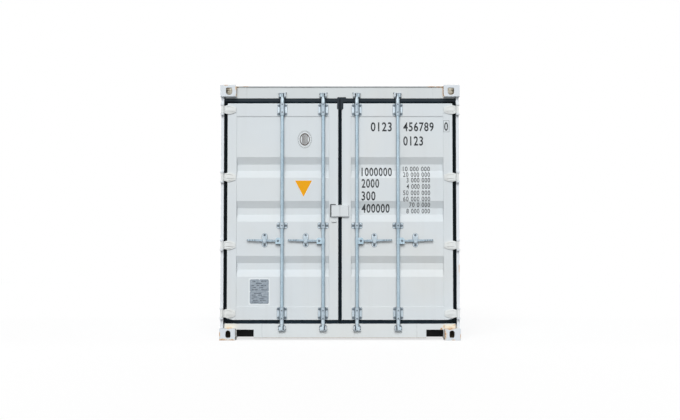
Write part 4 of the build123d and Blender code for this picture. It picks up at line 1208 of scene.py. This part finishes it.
# Flap lips: the moulded flap over the top of the meeting line stands a little above the seals and
# laps the header's lower edge, one half on each leaf.
seal_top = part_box("right_door_seal")[1].z
corner_cut = 0.012
for side, sign, start_x, reach_x in (("left", -1, 0.0035, 0.036), ("right", 1, -0.0025, 0.070)):
    lip = bmesh.new()
    add_block(lip, start_x, reach_x, door_y + 0.0505, door_y + 0.0555, seal_top - 0.012, seal_top + 0.0135)
    for vertex in lip.verts:
        if vertex.co.z > seal_top and vertex.co.x > 0.01:
            vertex.co.x -= corner_cut
        vertex.co.x *= sign
    bmesh.ops.recalc_face_normals(lip, faces=lip.faces[:])
    finish_block(lip, f"{side}_flap_lip", f"{side}_door", rubber, 0.0018)


# Cover strip: a thin lip on the right-hand half of the lock plate that closes the seam between
# the halves, so that rain doesn't run in behind them.
strip = bmesh.new()
add_block(strip, -0.0014, 0.0035, door_y + 0.0262, door_y + 0.031, 1.2465, 1.3675)
finish_block(strip, "lock_plate_lip", "right_door", box_paint, 0.0003)


# Tab for a customs wire: a small steel bar under the lock plate, welded to the left-hand leaf
# and painted with it.
tab = bmesh.new()
add_block(tab, -0.086, -0.037, leaf_y - 0.012, leaf_y, 1.193, 1.2065)
finish_block(tab, "wire_tab", "left_door", box_paint, 0.0015)


# Studio: a pale floor, an even white surround and soft lamps, with the camera where the
# photographer stood.
def soft_lamp(name, azimuth, elevation, strength, spread):
    """A lamp far off in a direction; azimuth 0 is in front of the doors and 90 is to their right."""
    data = bpy.data.lights.new(name, "SUN")
    data.energy = strength
    data.angle = math.radians(spread)
    a, e = math.radians(azimuth), math.radians(elevation)
    toward = Vector((math.sin(a) * math.cos(e), -math.cos(a) * math.cos(e), math.sin(e)))
    to_scene(name, data).rotation_euler = toward.to_track_quat("Z", "Y").to_euler()


soft_lamp("front_lamp", -4, 31, 2.24, 36)
soft_lamp("right_lamp", 100, 6, 1.2, 30)
soft_lamp("left_lamp", -100, 6, 1.0, 30)
soft_lamp("back_lamp", 180, 8, 1.2, 30)


def seen_by_eye(tree):
    """One for camera, glossy and transmission rays, and none for the rest."""
    rays = put(tree, "LightPath")
    plain = reckon(tree, "ADD", rays.outputs["Is Camera Ray"], rays.outputs["Is Glossy Ray"])
    return reckon(tree, "ADD", plain, rays.outputs["Is Transmission Ray"], use_clamp=True)


world = bpy.data.worlds.new("white_surround")
world.use_nodes = True
sky = world.node_tree
surround = stretch(sky, seen_by_eye(sky), 0.0, 1.0, 0.42, 1.0)
feed(sky, sky.nodes["Background"].inputs, {"Color": (1, 1, 1, 1), "Strength": surround})

floor_mesh = bpy.data.meshes.new("studio_floor")
floor_half = 60
corners = [(a * floor_half, b * floor_half, 0) for a, b in ((-1, -1), (1, -1), (1, 1), (-1, 1))]
floor_mesh.from_pydata(corners, [], [(0, 1, 2, 3)])
floor = to_scene("studio_floor", floor_mesh)
pale, ground = new_finish("pale_floor")[:2]
ground.nodes.remove(ground.nodes["Principled BSDF"])
matt = put(ground, "BsdfDiffuse", {"Color": (0.28, 0.28, 0.28, 1)})
glow_share = times(ground, seen_by_eye(ground), 0.74)
glow = put(ground, "Emission", {"Color": (1, 1, 1, 1), "Strength": glow_share})
surface = put(ground, "AddShader", {0: matt.outputs[0], 1: glow.outputs[0]}).outputs[0]
ground.links.new(surface, ground.nodes["Material Output"].inputs["Surface"])
floor_mesh.materials.append(pale)

lens = bpy.data.cameras.new("photo_camera")
lens.sensor_width = 36
lens.lens = 62.8
camera = to_scene("photo_camera", lens)
camera.location = (0, -15.03, 0.70)
aim = Vector((0, door_y, (cad_low.z + cad_high.z) / 2 + 0.02))
camera.rotation_euler = (aim - camera.location).to_track_quat("-Z", "Y").to_euler()
scene = bpy.context.scene
scene.world = world
scene.camera = camera
scene.view_settings.view_transform = "Standard"
